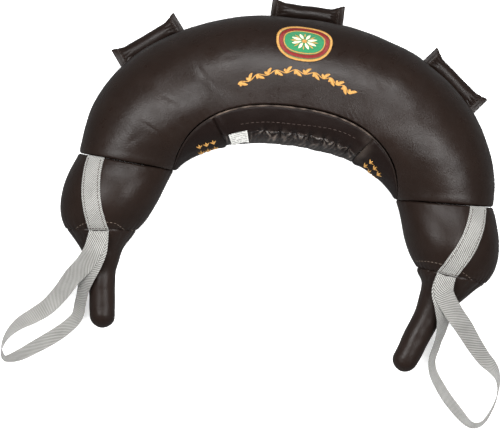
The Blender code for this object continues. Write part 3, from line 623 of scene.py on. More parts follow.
def drop_down(tree, plan, lift):
    """The points of a surface right below places in the plan, with the surface's directions there."""
    points, ways = [], []
    for x, y in plan:
        hit, normal = tree.ray_cast(Vector((x, y, DROP_HEIGHT)), Vector((0, 0, -1)))[:2]
        if hit is None:
            hit, normal = tree.find_nearest(Vector((x, y, MISS_HEIGHT)))[:2]
        normal = normal if normal.z > 0 else -normal
        points.append(hit + normal * lift)
        ways.append(normal)
    return np.array(points), np.array(ways)


def smooth_line(points, count):
    """Evenly stepped points on the smooth curve through a few points."""
    points = np.array(points, float)
    place = np.linspace(0, len(points) - 1, count)
    i = np.minimum(place.astype(int), len(points) - 2)
    t = (place - i)[:, None]
    p, q = points[np.maximum(0, i - 1)], points[i]
    r, s = points[i + 1], points[np.minimum(len(points) - 1, i + 2)]
    bend = (2 * p - 5 * q + 4 * r - s) * t * t + (3 * q - p - 3 * r + s) * t ** 3
    return 0.5 * (2 * q + (r - p) * t + bend)


def plug(made, inputs):
    """Sets a node's inputs, and links those that are given a node or one of its outputs."""
    for key, value in inputs.items():
        if isinstance(value, bpy.types.Node):
            value = value.outputs[0]
        if isinstance(value, bpy.types.NodeSocket):
            made.id_data.links.new(value, made.inputs[key])
        else:
            made.inputs[key].default_value = value
    return made


def node(tree, kind, inputs=None, **settings):
    """Adds a node with its settings and links."""
    made = tree.nodes.new(kind)
    for key, value in settings.items():
        setattr(made, key, value)
    return plug(made, inputs or {})


def new_material(name):
    """An empty material: its node tree and its shader."""
    material = bpy.data.materials.new(name)
    material.use_nodes = True
    tree = material.node_tree
    tree.nodes.clear()
    shader = node(tree, "ShaderNodeBsdfPrincipled")
    node(tree, "ShaderNodeOutputMaterial", {"Surface": shader})
    return tree, shader


def shares(count, fine=0.75):
    """Steps from 0 to 1 that are closer together at both ends."""
    steps = np.linspace(0, 1, count)
    return steps - fine * np.sin(2 * np.pi * steps) / (2 * np.pi)


def hide_material(name, low, high, roughness, wrinkle, worn=None, shine=0.20):
    """Finished cowhide: cloudy in colour, uneven in gloss, with a fine grain and soft wrinkles."""
    tree, shader = new_material(name)
    place = node(tree, "ShaderNodeTexCoord").outputs["Object"]
    cloud = node(tree, NOISE, {"Vector": place, "Scale": 1 / CLOUD_SIZE, "Detail": 4.0})
    colour = node(tree, MIX, {0: cloud, 6: low, 7: high}, data_type="RGBA").outputs[2]
    # Where a pale tone is given, a per-point attribute mixes it in: real wear on the welts, painted highlight
    # on the gusset, flap and closure
    if worn:
        wear = node(tree, "ShaderNodeAttribute", attribute_name="wear").outputs["Fac"]
        colour = node(tree, MIX, {0: wear, 6: colour, 7: worn}, data_type="RGBA").outputs[2]
    patch = node(tree, NOISE, {"Vector": place, "Scale": 1 / GLOSS_PATCH_SIZE, "Detail": 3.0})
    gloss = node(tree, "ShaderNodeMapRange",
                 {0: patch, 1: 0.3, 2: 0.7, 3: roughness - 0.05, 4: roughness + 0.07})
    grain = node(tree, "ShaderNodeTexVoronoi", {"Vector": place, "Scale": 1 / GRAIN_SIZE}, feature="F1")
    fold = node(tree, NOISE, {"Vector": place, "Scale": 1 / FOLD_SIZE, "Detail": 5.0, "Distortion": 0.6})
    fine = node(tree, BUMP, {"Strength": 0.35, "Distance": GRAIN_DEPTH, "Height": grain})
    coarse = node(tree, BUMP, {"Strength": wrinkle, "Distance": FOLD_DEPTH, "Height": fold, "Normal": fine})
    plug(shader, {"Base Color": colour, "Roughness": gloss, "Normal": coarse, "Specular IOR Level": shine})


def stripes(tree, place, pitch):
    """A wave between -1 and 1 over a place, for ribs and rules that lie a pitch apart."""
    turn = node(tree, MATHS, {0: place, 1: 2 * math.pi / pitch}, operation="MULTIPLY")
    return node(tree, MATHS, {0: turn}, operation="SINE")


def woven_material(name, low, high, pitch, depth):
    """Woven polyester: slanting twill ribs, with painted shade that darkens the furrows, and yarns across
    them.
    """
    tree, shader = new_material(name)
    split = node(tree, "ShaderNodeSeparateXYZ", {0: node(tree, "ShaderNodeUVMap")}).outputs
    slant = node(tree, MATHS, {0: split[0], 1: split[1]}, operation="ADD")
    rib = node(tree, MATHS, {0: stripes(tree, slant, pitch), 1: 0.5, 2: 0.5}, operation="MULTIPLY_ADD")
    yarn = stripes(tree, split[1], YARN_PITCH)
    height = node(tree, MATHS, {0: yarn, 1: 0.2, 2: rib}, operation="MULTIPLY_ADD")
    place = node(tree, "ShaderNodeTexCoord").outputs["Object"]
    grime = node(tree, NOISE, {"Vector": place, "Scale": 1 / GRIME_SIZE, "Detail": 5.0})
    uneven = node(tree, MATHS, {0: grime, 1: 0.5}, operation="SUBTRACT")
    # The colour follows the ribs: the low tone in the furrows is painted shade, unsettled by a random cloud
    share = node(tree, MATHS, {0: uneven, 1: 0.5, 2: rib}, operation="MULTIPLY_ADD")
    colour = node(tree, MIX, {0: share, 6: low, 7: high}, data_type="RGBA").outputs[2]
    bump = node(tree, BUMP, {"Strength": 0.6, "Distance": depth, "Height": height})
    plug(shader, {"Base Color": colour, "Normal": bump, "Roughness": 0.72, "Sheen Weight": 0.25})
    return tree, shader, split, colour


def label_material(name, low, high, ink):
    """Satin tape with plain faint rules across it, broken here and there."""
    tree, shader, split, ground = woven_material(name, low, high, *TAPE_RIB)
    rule = node(tree, MATHS, {0: stripes(tree, split[1], RULE_PITCH), 1: 0.35}, operation="GREATER_THAN")
    count = node(tree, MATHS, {0: split[1], 1: 1 / RULE_PITCH}, operation="MULTIPLY")
    row = node(tree, MATHS, {0: count}, operation="FLOOR")
    shift = node(tree, MATHS, {0: row, 1: 0.31}, operation="MULTIPLY")
    place = node(tree, "ShaderNodeCombineXYZ", {0: split[0], 1: shift})
    gaps = node(tree, NOISE, {"Vector": place, "Scale": 1 / RULE_GAP_SIZE})
    kept = node(tree, MATHS, {0: gaps, 1: 0.43}, operation="GREATER_THAN")
    away = node(tree, MATHS, {0: split[0]}, operation="ABSOLUTE")
    inside = node(tree, MATHS, {0: away, 1: LABEL_LENGTH * 0.42}, operation="LESS_THAN")
    share = node(tree, MATHS, {0: inside, 1: kept}, operation="MULTIPLY")
    share = node(tree, MATHS, {0: rule, 1: share}, operation="MULTIPLY")
    colour = node(tree, MIX, {0: share, 6: ground, 7: ink}, data_type="RGBA").outputs[2]
    plug(shader, {"Base Color": colour})


def thread_material(name, low, high, roughness):
    """Thread: two close tones that change from stitch to stitch, and a soft shine."""
    tree, shader = new_material(name)
    place = node(tree, "ShaderNodeTexCoord").outputs["Object"]
    tone = node(tree, NOISE, {"Vector": place, "Scale": 1 / THREAD_TONE_SIZE, "Detail": 2.0})
    colour = node(tree, MIX, {0: tone, 6: low, 7: high}, data_type="RGBA").outputs[2]
    plug(shader, {"Base Color": colour, "Roughness": roughness, "Sheen Weight": 0.06})


def rgba(code):
    return (*linear(code), 1.0)


def make_materials():
    """Every finish on the bag."""
    colours = bpy.context.scene.bag_colours
    dark, light = (*colours.leather_dark, 1.0), (*colours.leather_light, 1.0)
    # The next two are darker copies of the hide's colours, painted shade for the gusset and closure, which
    # face into the bay; the third is a pale tone painted on their folds and seam ends as highlight
    deep, inner, rubbed_and_highlight = rgba("#130D0B"), rgba("#1C1412"), rgba("#655B54")
    grey_furrow_shade, grey_light = (*colours.webbing_dark, 1.0), (*colours.webbing_light, 1.0)
    # Semigloss cowhide, rolled and lacquered: near black, with broad soft lights
    hide_material("cowhide_semigloss", dark, light, 0.31, 0.22)
    # The same hide pulled over a bulge: a little duller
    hide_material("cowhide_semigloss_caps", dark, light, 0.33, 0.24, shine=0.15)
    # Gusset hide: flatter, darkened in colour as painted shade, and paler on its folds and beside its cross
    # seams as painted highlight
    hide_material("cowhide_gusset", deep, inner, 0.40, 0.42, rubbed_and_highlight, 0.12)
    # Thin soft hide of the closure: creased, with small sharp lights on its folds; its colour is darkened as
    # painted shade, and its crests are painted pale as highlight
    hide_material("cowhide_closure", deep, inner, 0.34, 0.5, rubbed_and_highlight, 0.5)
    # Handled hide: more wrinkled, with softer lights
    hide_material("cowhide_grips", dark, light, 0.34, 0.34)
    # Cut and rolled edge: dull, and pale brown where it is rubbed
    hide_material("cowhide_worn_edge", dark, light, 0.5, 0.3, rgba("#5E5148"))
    # Polyester webbing: dull grey ribs over furrows darkened with painted shade, drawn about twice as coarse
    # as real to show
    woven_material("polyester_webbing", grey_furrow_shade, grey_light, *LOOSE_WEBBING_RIB)
    # Sewn down it is pulled flatter, and its ribs lie closer
    woven_material("polyester_webbing_sewn", grey_furrow_shade, grey_light, *SEWN_WEBBING_RIB)
    # Waxed thread: dull brown, darker or paler than the hide that it sinks into
    thread_material("waxed_thread_dark", rgba("#2A1E18"), rgba("#3E2E24"), 0.6)
    thread_material("waxed_thread_light", rgba("#4E4238"), rgba("#6F6155"), 0.6)
    thread_material("waxed_thread_brown", rgba("#30241F"), rgba("#47372F"), 0.7)
    # Rayon embroidery thread: clear colours with a silky light along each stitch
    thread_material("rayon_thread_gold", rgba("#9E6A2C"), rgba("#CE9F50"), 0.45)
    thread_material("rayon_thread_red", rgba("#640908"), rgba("#8A1512"), 0.5)
    thread_material("rayon_thread_pale", rgba("#C9BC9A"), rgba("#F1E9CF"), 0.45)
    # Polyester twill, the badge's woven ground: flat green with fine ribs, its darker green in the furrows
    # painted shade
    woven_material("badge_twill", rgba("#126A40"), rgba("#1C8854"), *BADGE_RIB)
    # Satin-woven tape: off-white and nearly smooth, a little darker in its fine furrows as painted shade
    label_material("label_satin_tape", rgba("#B4B4AF"), rgba("#CFCFCB"), rgba("#7F7F7C"))


def finish(name):
    """A finish that the materials step has made."""
    found = bpy.data.materials.get(name)
    if found is None:
        raise RuntimeError(f"the finish {name} isn't there: the materials step comes first")
    return found


def piece(name):
    """A piece that an earlier step has made."""
    found = bpy.data.objects.get(name)
    if found is None:
        raise RuntimeError(f"the piece {name} isn't there: the step that makes it comes first")
    return found


def wear_and_highlight_layer(item, values):
    """How pale each point of a piece is, for its finish to read: real wear on the welts, painted highlight on
    the gusset, flap and closure.
    """
    layer = item.data.attributes.new("wear", "FLOAT", "POINT")
    layer.data.foreach_set("value", np.clip(values, 0, 1).astype(np.float32))


def crest_highlight(depth):
    """The high lines of a relief, where folded hide is painted pale as highlight."""
    even = blurred(blurred(depth, 60).T, 10).T
    return np.clip((even - depth) / 0.0007, 0, 1)


def skin_piece(name, stations, low, high, count, thickness, material, depth_rule, highlight_rule=None):
    """A dense leather panel between two angle rules, pressed in by a depth rule."""
    span = high(stations) - low(stations)
    angles = low(stations)[:, None] + span[:, None] * shares(count)
    places = np.broadcast_to(stations[:, None], angles.shape)
    base, ways = bag_point(places, angles), bag_normal(places, angles)
    sheet = Sheet(places, angles, base, *side_distances(base))
    sheet = sheet._replace(depth=depth_rule(sheet))
    points = base - ways * sheet.depth[..., None]
    points[..., 2] = np.maximum(points[..., 2], SKIN_CLEARANCE)
    skin = sheet_object(name, points, ways, thickness, finish(material))
    # Pale painted highlight, where a rule for it is given
    if highlight_rule:
        wear_and_highlight_layer(skin, np.tile(highlight_rule(sheet).ravel(), 2))
    return skin


def dents(points, seed, deep=0.0011, fine=0.00028):
    """The unevenness of stuffed leather: wide shallow dents and small ones."""
    wide = soft_noise(points, WIDE_DENT, seed) * deep
    middling = soft_noise(points, MIDDLE_DENT, seed + 2) * deep * 0.45
    return wide + middling + soft_noise(points, SMALL_DENT, seed + 1) * fine


def handle_press(base):
    """How deep the hide is pressed in behind each handle, which leaves it room to tilt."""
    total = np.zeros(base.shape[:-1])
    for name in HANDLE_ANGLES:
        away = length(base[..., :2] - handle_frame(name)[1])[..., 0]
        total += HANDLE_PRESS_DEPTH * np.exp(-(away / HANDLE_PRESS_REACH) ** 4)
    return total


def cap_seam(sheet, seed):
    """How deep a panel is drawn in at its seams to the caps."""
    seam = np.minimum(sheet.start, sheet.end)
    return roll_in(seam, *CAP_SEAM_ROLL) + pucker(sheet.first, seam, sheet.base, seed, *CAP_SEAM_PUCKER)


def build_panels():
    """The front and back panels of the crescent, rolled in at every seam."""
    stations = np.clip(-1.0 + 2.0 * shares(301, 0.55), -BODY_END, BODY_END)

    def front_depth(sheet):
        seam = np.minimum(sheet.start, sheet.end)
        depth = cap_seam(sheet, 5) - bead(seam, *CAP_SEAM_RIDGE)
        depth += roll_in(sheet.last, *FRONT_WELT_ROLL) + roll_in(sheet.first, *OUTER_SEAM_ROLL)
        depth += pucker(sheet.start + PUCKER_SHIFT, sheet.last, sheet.base, 9, *FRONT_WELT_PUCKER)
        return depth + dents(sheet.base, 11) + crease_depth(sheet.base, CREASES) + handle_press(sheet.base)

    def back_depth(sheet):
        depth = cap_seam(sheet, 6)
        depth += roll_in(sheet.last, *OUTER_SEAM_ROLL) + roll_in(sheet.first, *REAR_WELT_ROLL)
        grounded = smooth(sheet.base[..., 2] / GROUND_FADE)
        return depth + dents(sheet.base, 21) * grounded + handle_press(sheet.base)

    front = skin_piece("front_skin", stations,
                       lambda s: angle_shift(s, OUTER_SEAM_ANGLE, SEAM_GAP / 2),
                       lambda s: angle_shift(s, gusset_angle(s), -HALF_WELT), 110, SKIN_THICKNESS,
                       "cowhide_semigloss", front_depth)
    rides(front, "bag", ("front_panel", "wadding_front"))
    back = skin_piece("back_skin", stations[::2],
                      lambda s: angle_shift(s, rear_angle(s), HALF_WELT),
                      lambda s: 2 * math.pi + angle_shift(s, OUTER_SEAM_ANGLE, -SEAM_GAP / 2), 90,
                      SKIN_THICKNESS, "cowhide_semigloss", back_depth)
    rides(back, "bag", ("back_panel", "wadding_back", "sand_bag_left", "sand_bag_centre",
                                   "sand_bag_right"))


def build_gusset():
    """The gusset's two wedges, its centre flap, and the pleated closure that is sewn below the flap."""
    cross = float(station_shift(GUSSET_CENTRE_SHARE, math.radians(135), SEAM_GAP / 2))

    def low(s):
        return angle_shift(s, gusset_angle(s), HALF_WELT)

    def high(s):
        return angle_shift(s, rear_angle(s), -HALF_WELT)

    def sewn_edges(sheet, ridge):
        """Rolled in at the welt and at the cross seams, with a ridge of hide beside the cross seams."""
        side = np.minimum(sheet.start, sheet.end)
        depth = roll_in(sheet.first, *GUSSET_WELT_ROLL) + roll_in(side, *CROSS_SEAM_ROLL)
        return depth - bead(side, *ridge)

    def wedge_depth(sheet):
        depth = sewn_edges(sheet, WEDGE_RIDGE) + roll_in(sheet.last, *WEDGE_REAR_ROLL)
        return depth + dents(sheet.base, 31, 0.0009, 0.0003)

    # Painted highlight: a pale patch on the right wedge beside its cross seam, some 35 mm from the welt,
    # broken into lumps
    def wedge_highlight(sheet):
        lumps = 0.6 + 0.4 * soft_noise(sheet.base, 0.010, 37)
        rubbed_and_highlight = np.exp(-sheet.start / 0.006) * bead(sheet.first, 0.035, 0.025)
        return 0.55 * lumps * rubbed_and_highlight * (sheet.base[..., 0] > 0)

    for name, ends in (("left", (-BODY_END, -cross)), ("right", (cross, BODY_END))):
        stations = ends[0] + (ends[1] - ends[0]) * shares(110, 0.55)
        wedge = skin_piece(f"gusset_skin_{name}", stations, low, high, 60, GUSSET_THICKNESS,
                           "cowhide_gusset", wedge_depth, wedge_highlight)
        rides(wedge, "bag", (f"gusset_{name}",))

    inset = cross - SEAM_GAP
    stations = np.linspace(-inset, inset, 421)
    dips = np.array([-inset, *PLEAT_STATIONS, inset])

    def pinched(places):
        """0 at each pleat and 1 between two."""
        return np.abs(np.sin(np.pi * np.interp(places, dips, np.arange(len(dips)))))

    def gathers(places, down, reach, rays, depth):
        """Folds that fan out from each pleat: down is the distance from the flap's edge."""
        total = 0 * down
        for k, dip in enumerate(PLEAT_STATIONS):
            aside = (places - dip) * STATION_LENGTH
            away = np.hypot(aside, down) / reach
            fan = np.sin(np.arctan2(aside, down) * rays + k * 2.1)
            total += fan * away * np.exp(1 - away) * (away < 4)
        return total * depth

    def flap_depth(sheet):
        depth = sewn_edges(sheet, FLAP_RIDGE) + roll_in(sheet.last, *FLAP_EDGE_ROLL)
        pinch = (1 - pinched(sheet.places) ** 0.7) * FLAP_PINCH_DEPTH
        depth += pinch * np.exp(-sheet.last / FLAP_PINCH_REACH)
        depth += gathers(sheet.places, sheet.last, *FLAP_FAN)
        return depth + dents(sheet.base, 41, 0.0007, 0.0003)

    # Painted highlight: a pale patch at the flap's right end by the welt, and pale crests on the folds near
    # its edge
    def flap_highlight(sheet):
        lumps = 0.6 + 0.4 * soft_noise(sheet.base, 0.010, 43)
        corner = np.exp(-sheet.end / 0.007) * np.exp(-sheet.first / 0.035)
        return 0.5 * lumps * (corner + crest_highlight(sheet.depth) * np.exp(-sheet.last / 0.008))

    flap = skin_piece("flap_skin", stations, low, flap_angle, 56, GUSSET_THICKNESS, "cowhide_gusset",
                      flap_depth, flap_highlight)
    rides(flap, "bag", ("gusset_flap",))

    def closure_low(s):
        return angle_shift(s, flap_angle(s), -FLAP_OVERLAP)

    def closure_depth(sheet):
        places, first = sheet.places, sheet.first
        share = first / np.maximum(first + sheet.last, TINY)
        # Away from the middle the folds lean outwards
        lean = places - 0.03 * share * smooth(np.abs(places) / 0.2) * np.sign(places)
        puff = pinched(lean) ** 0.5
        # Round the section's inmost line, which the outline shows, the folds are shallow
        calm = 1 - 0.85 * bead(sheet.angles, np.pi, 0.30)
        fade = np.sin(np.pi * np.clip(share * 0.86 + 0.10, 0, 1)) ** 0.7 * calm
        depth = CLOSURE_DIP * np.sqrt(np.maximum(0, 1 - share))
        depth += (CLOSURE_FURROW * (1 - puff) - CLOSURE_SWELL * puff) * fade
        depth += gathers(places, np.maximum(0, first - FLAP_OVERLAP), *CLOSURE_FAN) * calm
        wrinkles = np.sin(places * 210 + first * 160 + soft_noise(sheet.base, 0.03, 47))
        return depth + wrinkles * CLOSURE_WRINKLE * fade + dents(sheet.base, 51, 0.0008, 0.0005)

    # Painted highlight: pale crests on the closure's folds, in lumps, fading out past the section's inmost
    # line
    def closure_highlight(sheet):
        lumps = np.clip(0.55 + 0.6 * soft_noise(sheet.base, 0.012, 53), 0, 1)
        return crest_highlight(sheet.depth) * lumps * smooth((np.pi + 0.5 - sheet.angles) / 0.4)

    closure = skin_piece("closure_skin", stations, closure_low, high, 90, CLOSURE_THICKNESS,
                         "cowhide_closure", closure_depth, closure_highlight)
    rides(closure, "bag", ("pleated_closure",))


def build_welts():
    """Thin rolled edges, lighter where scuffed, along the gusset's two long seams."""
    stations = np.linspace(-WELT_END, WELT_END, 421)
    turns = np.linspace(0, 2 * np.pi, 13)[:-1]
    rules = (("front_welt", gusset_angle, 0.0014), ("rear_welt", rear_angle, 0.0015))
    for name, rule, radius in rules:
        angle = angle_shift(stations, rule(stations), WELT_SHIFT)
        base, out = bag_point(stations, angle), bag_normal(stations, angle)
        across = unit(np.cross(unit(np.gradient(base, axis=0)), out))
        rise = soft_noise(base, 0.012, 61)[:, None] * 0.00018
        middle = base - out * (WELT_DEPTH - rise)
        ring = across[:, None] * np.cos(turns)[None, :, None] + out[:, None] * np.sin(turns)[None, :, None]
        rings = middle[:, None] + radius * ring
        rings[..., 2] = np.maximum(rings[..., 2], 0.0002)
        welt = tube_object(f"{name}_roll", rings, finish("cowhide_worn_edge"))
        points = np.array([v.co for v in welt.data.vertices])
        rubbed_and_highlight = np.repeat(smooth((0.46 - np.abs(stations)) / 0.05), len(turns))
        wear_and_highlight_layer(welt, np.append(rubbed_and_highlight, [0, 0]) * (0.45 + 0.55 * soft_noise(points, 0.008, 67)))
        rides(welt, "bag", (name,))


def build_caps():
    """The bulbous end caps, puckered at the cap seam and gathered in at the neck."""
    for side_name, side in SIDES:
        stations = side * (1.0001 + 0.9999 * shares(151, 0.8))
        for half_name, low, high, seed in (("front", 0.0, math.pi, 71), ("back", math.pi, 2 * math.pi, 81)):

            def cap_depth(sheet):
                ring = sheet.angles * CAP_MEAN_RADIUS
                grounded = smooth(sheet.base[..., 2] / GROUND_FADE)
                depth = roll_in(sheet.start, *CAP_SEAM_ROLL) + roll_in(sheet.end, *NECK_ROLL)
                depth += pucker(ring, sheet.start, sheet.base, seed, *CAP_PUCKER)
                turn = ring * 2 * np.pi / NECK_FOLD_PITCH + soft_noise(sheet.base, 0.04, seed + 1) * 1.6
                depth += folds(turn) * NECK_FOLD_DEPTH * np.exp(-sheet.end / NECK_FOLD_REACH) * grounded
                depth += roll_in(sheet.first, *CAP_SIDE_ROLL) + roll_in(sheet.last, *CAP_SIDE_ROLL)
                return depth + dents(sheet.base, seed + 3, 0.0010, 0.0003) * grounded

            cap = skin_piece(f"cap_skin_{half_name}_{side_name}", stations,
                             lambda s: angle_shift(s, low + 0 * s, SEAM_GAP / 2),
                             lambda s: angle_shift(s, high + 0 * s, -SEAM_GAP / 2), 96, SKIN_THICKNESS,
                             "cowhide_semigloss_caps", cap_depth)
            rides(cap, "bag", (f"cap_{half_name}_{side_name}",))


def neck_frame(side):
    """The middle of a neck and the half sizes of the root that seats in it."""
    outer, inner = outline(2.0 * side)
    half, middle = heights(2.0 * side)
    centre = (outer + inner) / 2
    seat = LEATHER + 3 * GAP
    return (np.array([*centre, float(middle)]), float(np.linalg.norm(outer - inner)) / 2 - seat,
            float(half) - seat)


def grip_rings(side_name, side, columns):
    """Dense rings of a grip, from the neck to its round tip, with their middles and places along it."""
    centre, root_width, root_height = neck_frame(side)
    reach = GRIP_REACH[side_name]
    knots = [centre]
    fall = GRIP_TIP_HEIGHT - centre[2]
    for turn, share in zip(GRIP_TURNS[side_name], (GRIP_BEND_SHARE, 1 - GRIP_BEND_SHARE)):
        step = np.array([-side * math.sin(turn) * reach, -math.cos(turn) * reach, fall])
        knots.append(knots[-1] + step * share)
    angles = np.linspace(0, 2 * np.pi, columns + 1)[:-1]
    rings, middles, run = [], [], []

    def path(share):
        rest = 1 - share
        return knots[0] * rest * rest + knots[1] * 2 * rest * share + knots[2] * share * share

    def add(middle, ahead, wide, high, place):
        across = np.array([-ahead[1], ahead[0], 0])
        across /= np.linalg.norm(across)
        rings.append(middle + across * (np.cos(angles) * wide)[:, None]
                     + np.array([0, 0, 1]) * (np.sin(angles) * high)[:, None])
        middles.append(middle)
        run.append(place)

    tip_share = 1 - GRIP_TIP_HALF_WIDTH / reach
    for share in np.linspace(0, tip_share, 110):
        narrow = max(0, 1 - share / FUNNEL_SHARE) ** FUNNEL_POWER
        slim = mix(GRIP_HALF_WIDTH, GRIP_TIP_HALF_WIDTH, max(0, share - FUNNEL_SHARE) / (1 - FUNNEL_SHARE))
        ahead = path(min(1, share + 0.01)) - path(max(0, share - 0.01))
        add(path(share), ahead, mix(slim, root_width, narrow), mix(slim, root_height, narrow), share * reach)
    ahead = path(1.0) - path(0.99)
    ahead /= np.linalg.norm(ahead)
    for tilt in np.radians(np.linspace(4, 86, 22)):
        onward, radius = GRIP_TIP_HALF_WIDTH * math.sin(tilt), GRIP_TIP_HALF_WIDTH * math.cos(tilt)
        add(path(tip_share) + ahead * onward, ahead, radius, radius, reach * tip_share + onward)
    return np.array(rings), np.array(middles), np.array(run), angles


def build_grips():
    """The leather grips. Each starts at the neck seam, full as the cap is there, and narrows to its tip."""
    for side_name, side in SIDES:
        rings, middles, run, angles = grip_rings(side_name, side, 120)
        neck = bag_point(2.0 * side, angles if side > 0 else np.pi - angles)
        rings = rings + (neck - rings[0])[None] * (1 - smooth(run[:, None] / GRIP_ROOT_LENGTH))[..., None]
        # The skin goes on a little way into the neck seam
        back = unit(middles[0] - middles[1])
        tucks = np.array(GRIP_TUCKS)[:, None]
        rings = np.concatenate([rings[0] + (back * tucks)[:, None], rings])
        middles = np.concatenate([middles[0] + back * tucks, middles])
        run = np.concatenate([-tucks[:, 0], run])
        reach = np.maximum(0, run)[:, None]
        out = unit(rings - middles[:, None])
        gather = folds(angles * GRIP_FOLDS + soft_noise(rings, 0.05, 91 + side) * 1.2)
        depth = gather * GRIP_FOLD_DEPTH * np.exp(-reach / GRIP_FOLD_REACH) + roll_in(reach, *GRIP_ROOT_ROLL)
        depth += np.maximum(0, -run)[:, None] * 0.4
        bends = soft_noise(rings * np.array([0.5, 1.6, 0.5]), 0.026, 95 + side)
        depth = depth + (bends * 0.0007 + soft_noise(rings, 0.010, 97) * 0.00018) * smooth(reach / 0.01)
        # The closing seam runs along the underside, a little inwards
        seam = np.abs((angles - np.pi * (1.5 - 0.06 * side) + np.pi) % (2 * np.pi) - np.pi) * GRIP_MEAN_RADIUS
        depth += roll_in(seam, *GRIP_SEAM_ROLL)[None, :]
        grip = tube_object(f"grip_skin_{side_name}", rings - out * depth[..., None], finish("cowhide_grips"))
        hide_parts(f"grip_cover_{side_name}", f"grip_core_{side_name}")
        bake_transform(grip)


def strap_places(side_name, side, along, across):
    """Stations and angles of the sewn webbing on a cap, from places along it and metres across it."""
    first, last = RUN_ANGLES[side_name]
    start = float(station_shift(float(side), math.pi / 2, SEAM_GAP))
    share = np.asarray(along, float)
    station = mix(start, 2.0 * side, share)
    angle = mix(first, last, share)
    here = bag_point(station, angle)
    ahead = bag_point(mix(start, 2.0 * side, share + 0.01), mix(first, last, share + 0.01)) - here
    around = bag_point(station, angle + ANGLE_STEP) - here
    slant = np.sqrt(1 - np.clip(np.sum(unit(ahead) * unit(around), -1), -1, 1) ** 2)
    return station, angle_shift(station, angle, across / np.maximum(slant, 0.2))


def blurred(values, passes):
    """The values evened out along the first axis."""
    for _ in range(passes):
        padded = np.concatenate([values[:1], values, values[-1:]])
        values = (padded[:-2] + 2 * padded[1:-1] + padded[2:]) / 4
    return values


def build_webbing():
    """The webbing sewn down on each cap, and the loose loop that goes on from it."""
    for side_name, side in SIDES:
        along = np.linspace(0, 1, 90)[:, None]
        across = np.linspace(-0.5, 0.5, 21) * WEBBING_WIDTH
        station, angle = strap_places(side_name, side, along + 0 * across, across + 0 * along)
        base, out = bag_point(station, angle), bag_normal(station, angle)
        landed = drop_on(surface_of(piece(f"cap_skin_front_{side_name}")), base, out, 0)
        sunk = np.clip(np.sum((landed - base) * out, -1), -0.006, 0.004)
        sunk = blurred(blurred(sunk, 4).T, 4).T
        ridge = bead(np.abs(across), WEBBING_WIDTH / 2 - SELVAGE_INSET, SELVAGE_WIDTH, SELVAGE_HEIGHT)
        lift = sunk + WEBBING_LIFT + ridge[None, :]
        # Its first row dips into the cap seam
        lift[0] -= 0.0012
        uv = np.stack([along * CAP_LENGTH + 0 * across, across + 0 * along], -1)
        run = sheet_object(f"strap_webbing_{side_name}", base + out * lift[..., None], out,
                           WEBBING_THICKNESS, finish("polyester_webbing_sewn"), uv)
        rides(run, "bag", (f"strap_run_{side_name}",))
        build_loop(side_name, side)


def run_end(side_name, side):
    """The middle of the sewn webbing's end at the neck, with the directions out, across and onwards."""
    station, angle = 2.0 * side, RUN_ANGLES[side_name][1]
    across = unit(bag_point(station, angle - ANGLE_STEP) - bag_point(station, angle + ANGLE_STEP)) * side
    out = bag_normal(station, angle)
    onward = unit(np.cross(across, out))
    return bag_point(station, angle), out, across, -onward if onward[1] > 0 else onward


def build_loop(side_name, side):
    """One loop: two layers at the sewn end, standing on edge at the far end."""
    skin, out, across, onward = run_end(side_name, side)
    upper = skin + out * (GAP + WEBBING_THICKNESS / 2) + onward * LOOP_START
    lower = upper - out * (WEBBING_THICKNESS + GAP)
    neck = neck_frame(side)[0]
    loose = [(neck[0] + x, neck[1] + y, height, turn) for x, y, height, turn in LOOP_ROUTES[side_name]]
    count = 321
    route = smooth_line([(*upper, 0), *loose, (*lower, 180)], count)
    middle = route[:, :3]
    ahead = unit(np.gradient(middle, axis=0))
    ahead[0], ahead[-1] = onward, -onward
    aside = unit(np.stack([ahead[:, 1], -ahead[:, 0], 0 * ahead[:, 0]], -1)) * -side
    lean = np.radians(route[:, 3:4])
    face = np.array([0.0, 0.0, 1.0]) * np.cos(lean) + aside * np.sin(lean)
    # Both ends lie flat on the cap
    place = np.linspace(0, 1, count)[:, None]
    near, far = np.clip(1 - place * 46, 0, 1), np.clip(1 - (1 - place) * 46, 0, 1)
    face = face * (1 - near - far) + out * near - out * far
    face = unit(face - ahead * np.sum(face * ahead, -1, keepdims=True))
    wide = unit(np.cross(ahead, face))
    row = np.linspace(-1, 1, 15)
    ripple = soft_noise(middle, 0.03, 103)[:, None] * 0.00025
    half = WEBBING_THICKNESS / 2 * np.sqrt(np.clip(1 - np.abs(row) ** 12, 0.08, 1))
    strip = middle[:, None] + wide[:, None] * (row * WEBBING_WIDTH / 2)[None, :, None]
    top = strip + face[:, None] * (half[None, :] + ripple)[..., None]
    low = strip - face[:, None] * (half[None, :] - ripple)[..., None]
    rings = np.concatenate([top, low[:, ::-1]], 1)
    rings[..., 2] = np.maximum(rings[..., 2], 0.0003)
    run = np.append(0, np.cumsum(length(np.diff(middle, axis=0))[:, 0]))
    cross = np.concatenate([row, row[::-1]]) * WEBBING_WIDTH / 2
    uv = np.stack([run[:, None] + 0 * cross, cross + 0 * run[:, None]], -1)
    loop = tube_object(f"loop_webbing_{side_name}", rings, finish("polyester_webbing"), uv)
    rides(loop, f"{side_name}_loop", (f"webbing_loop_{side_name}",))


def handle_frame(name):
    """A handle's station, the outline's point there, and the directions along and out."""
    station = (math.pi / 2 - HANDLE_ANGLES[name]) / (math.pi / 2)
    along = unit(outline(station + SLOPE_SHARE)[0] - outline(station - SLOPE_SHARE)[0])
    return station, outline(station)[0], along, np.array([-along[1], along[0]])


def side_place(place, along_distance, height):
    """The station and angle on the bag's outer side at a distance along a handle and a height."""
    station, outer, along, out = place
    target = outer + along * along_distance
    for _ in range(12):
        here = outline(station)[0]
        pace = (outline(station + SLOPE_SHARE)[0] - here) / SLOPE_SHARE
        station = station + float((target - here) @ pace) / float(pace @ pace)
    half, middle = heights(station)
    level = float((height - middle) / half)
    return station, -math.asin(min(1, abs(level) ** (SECTION_FULLNESS / 2)))


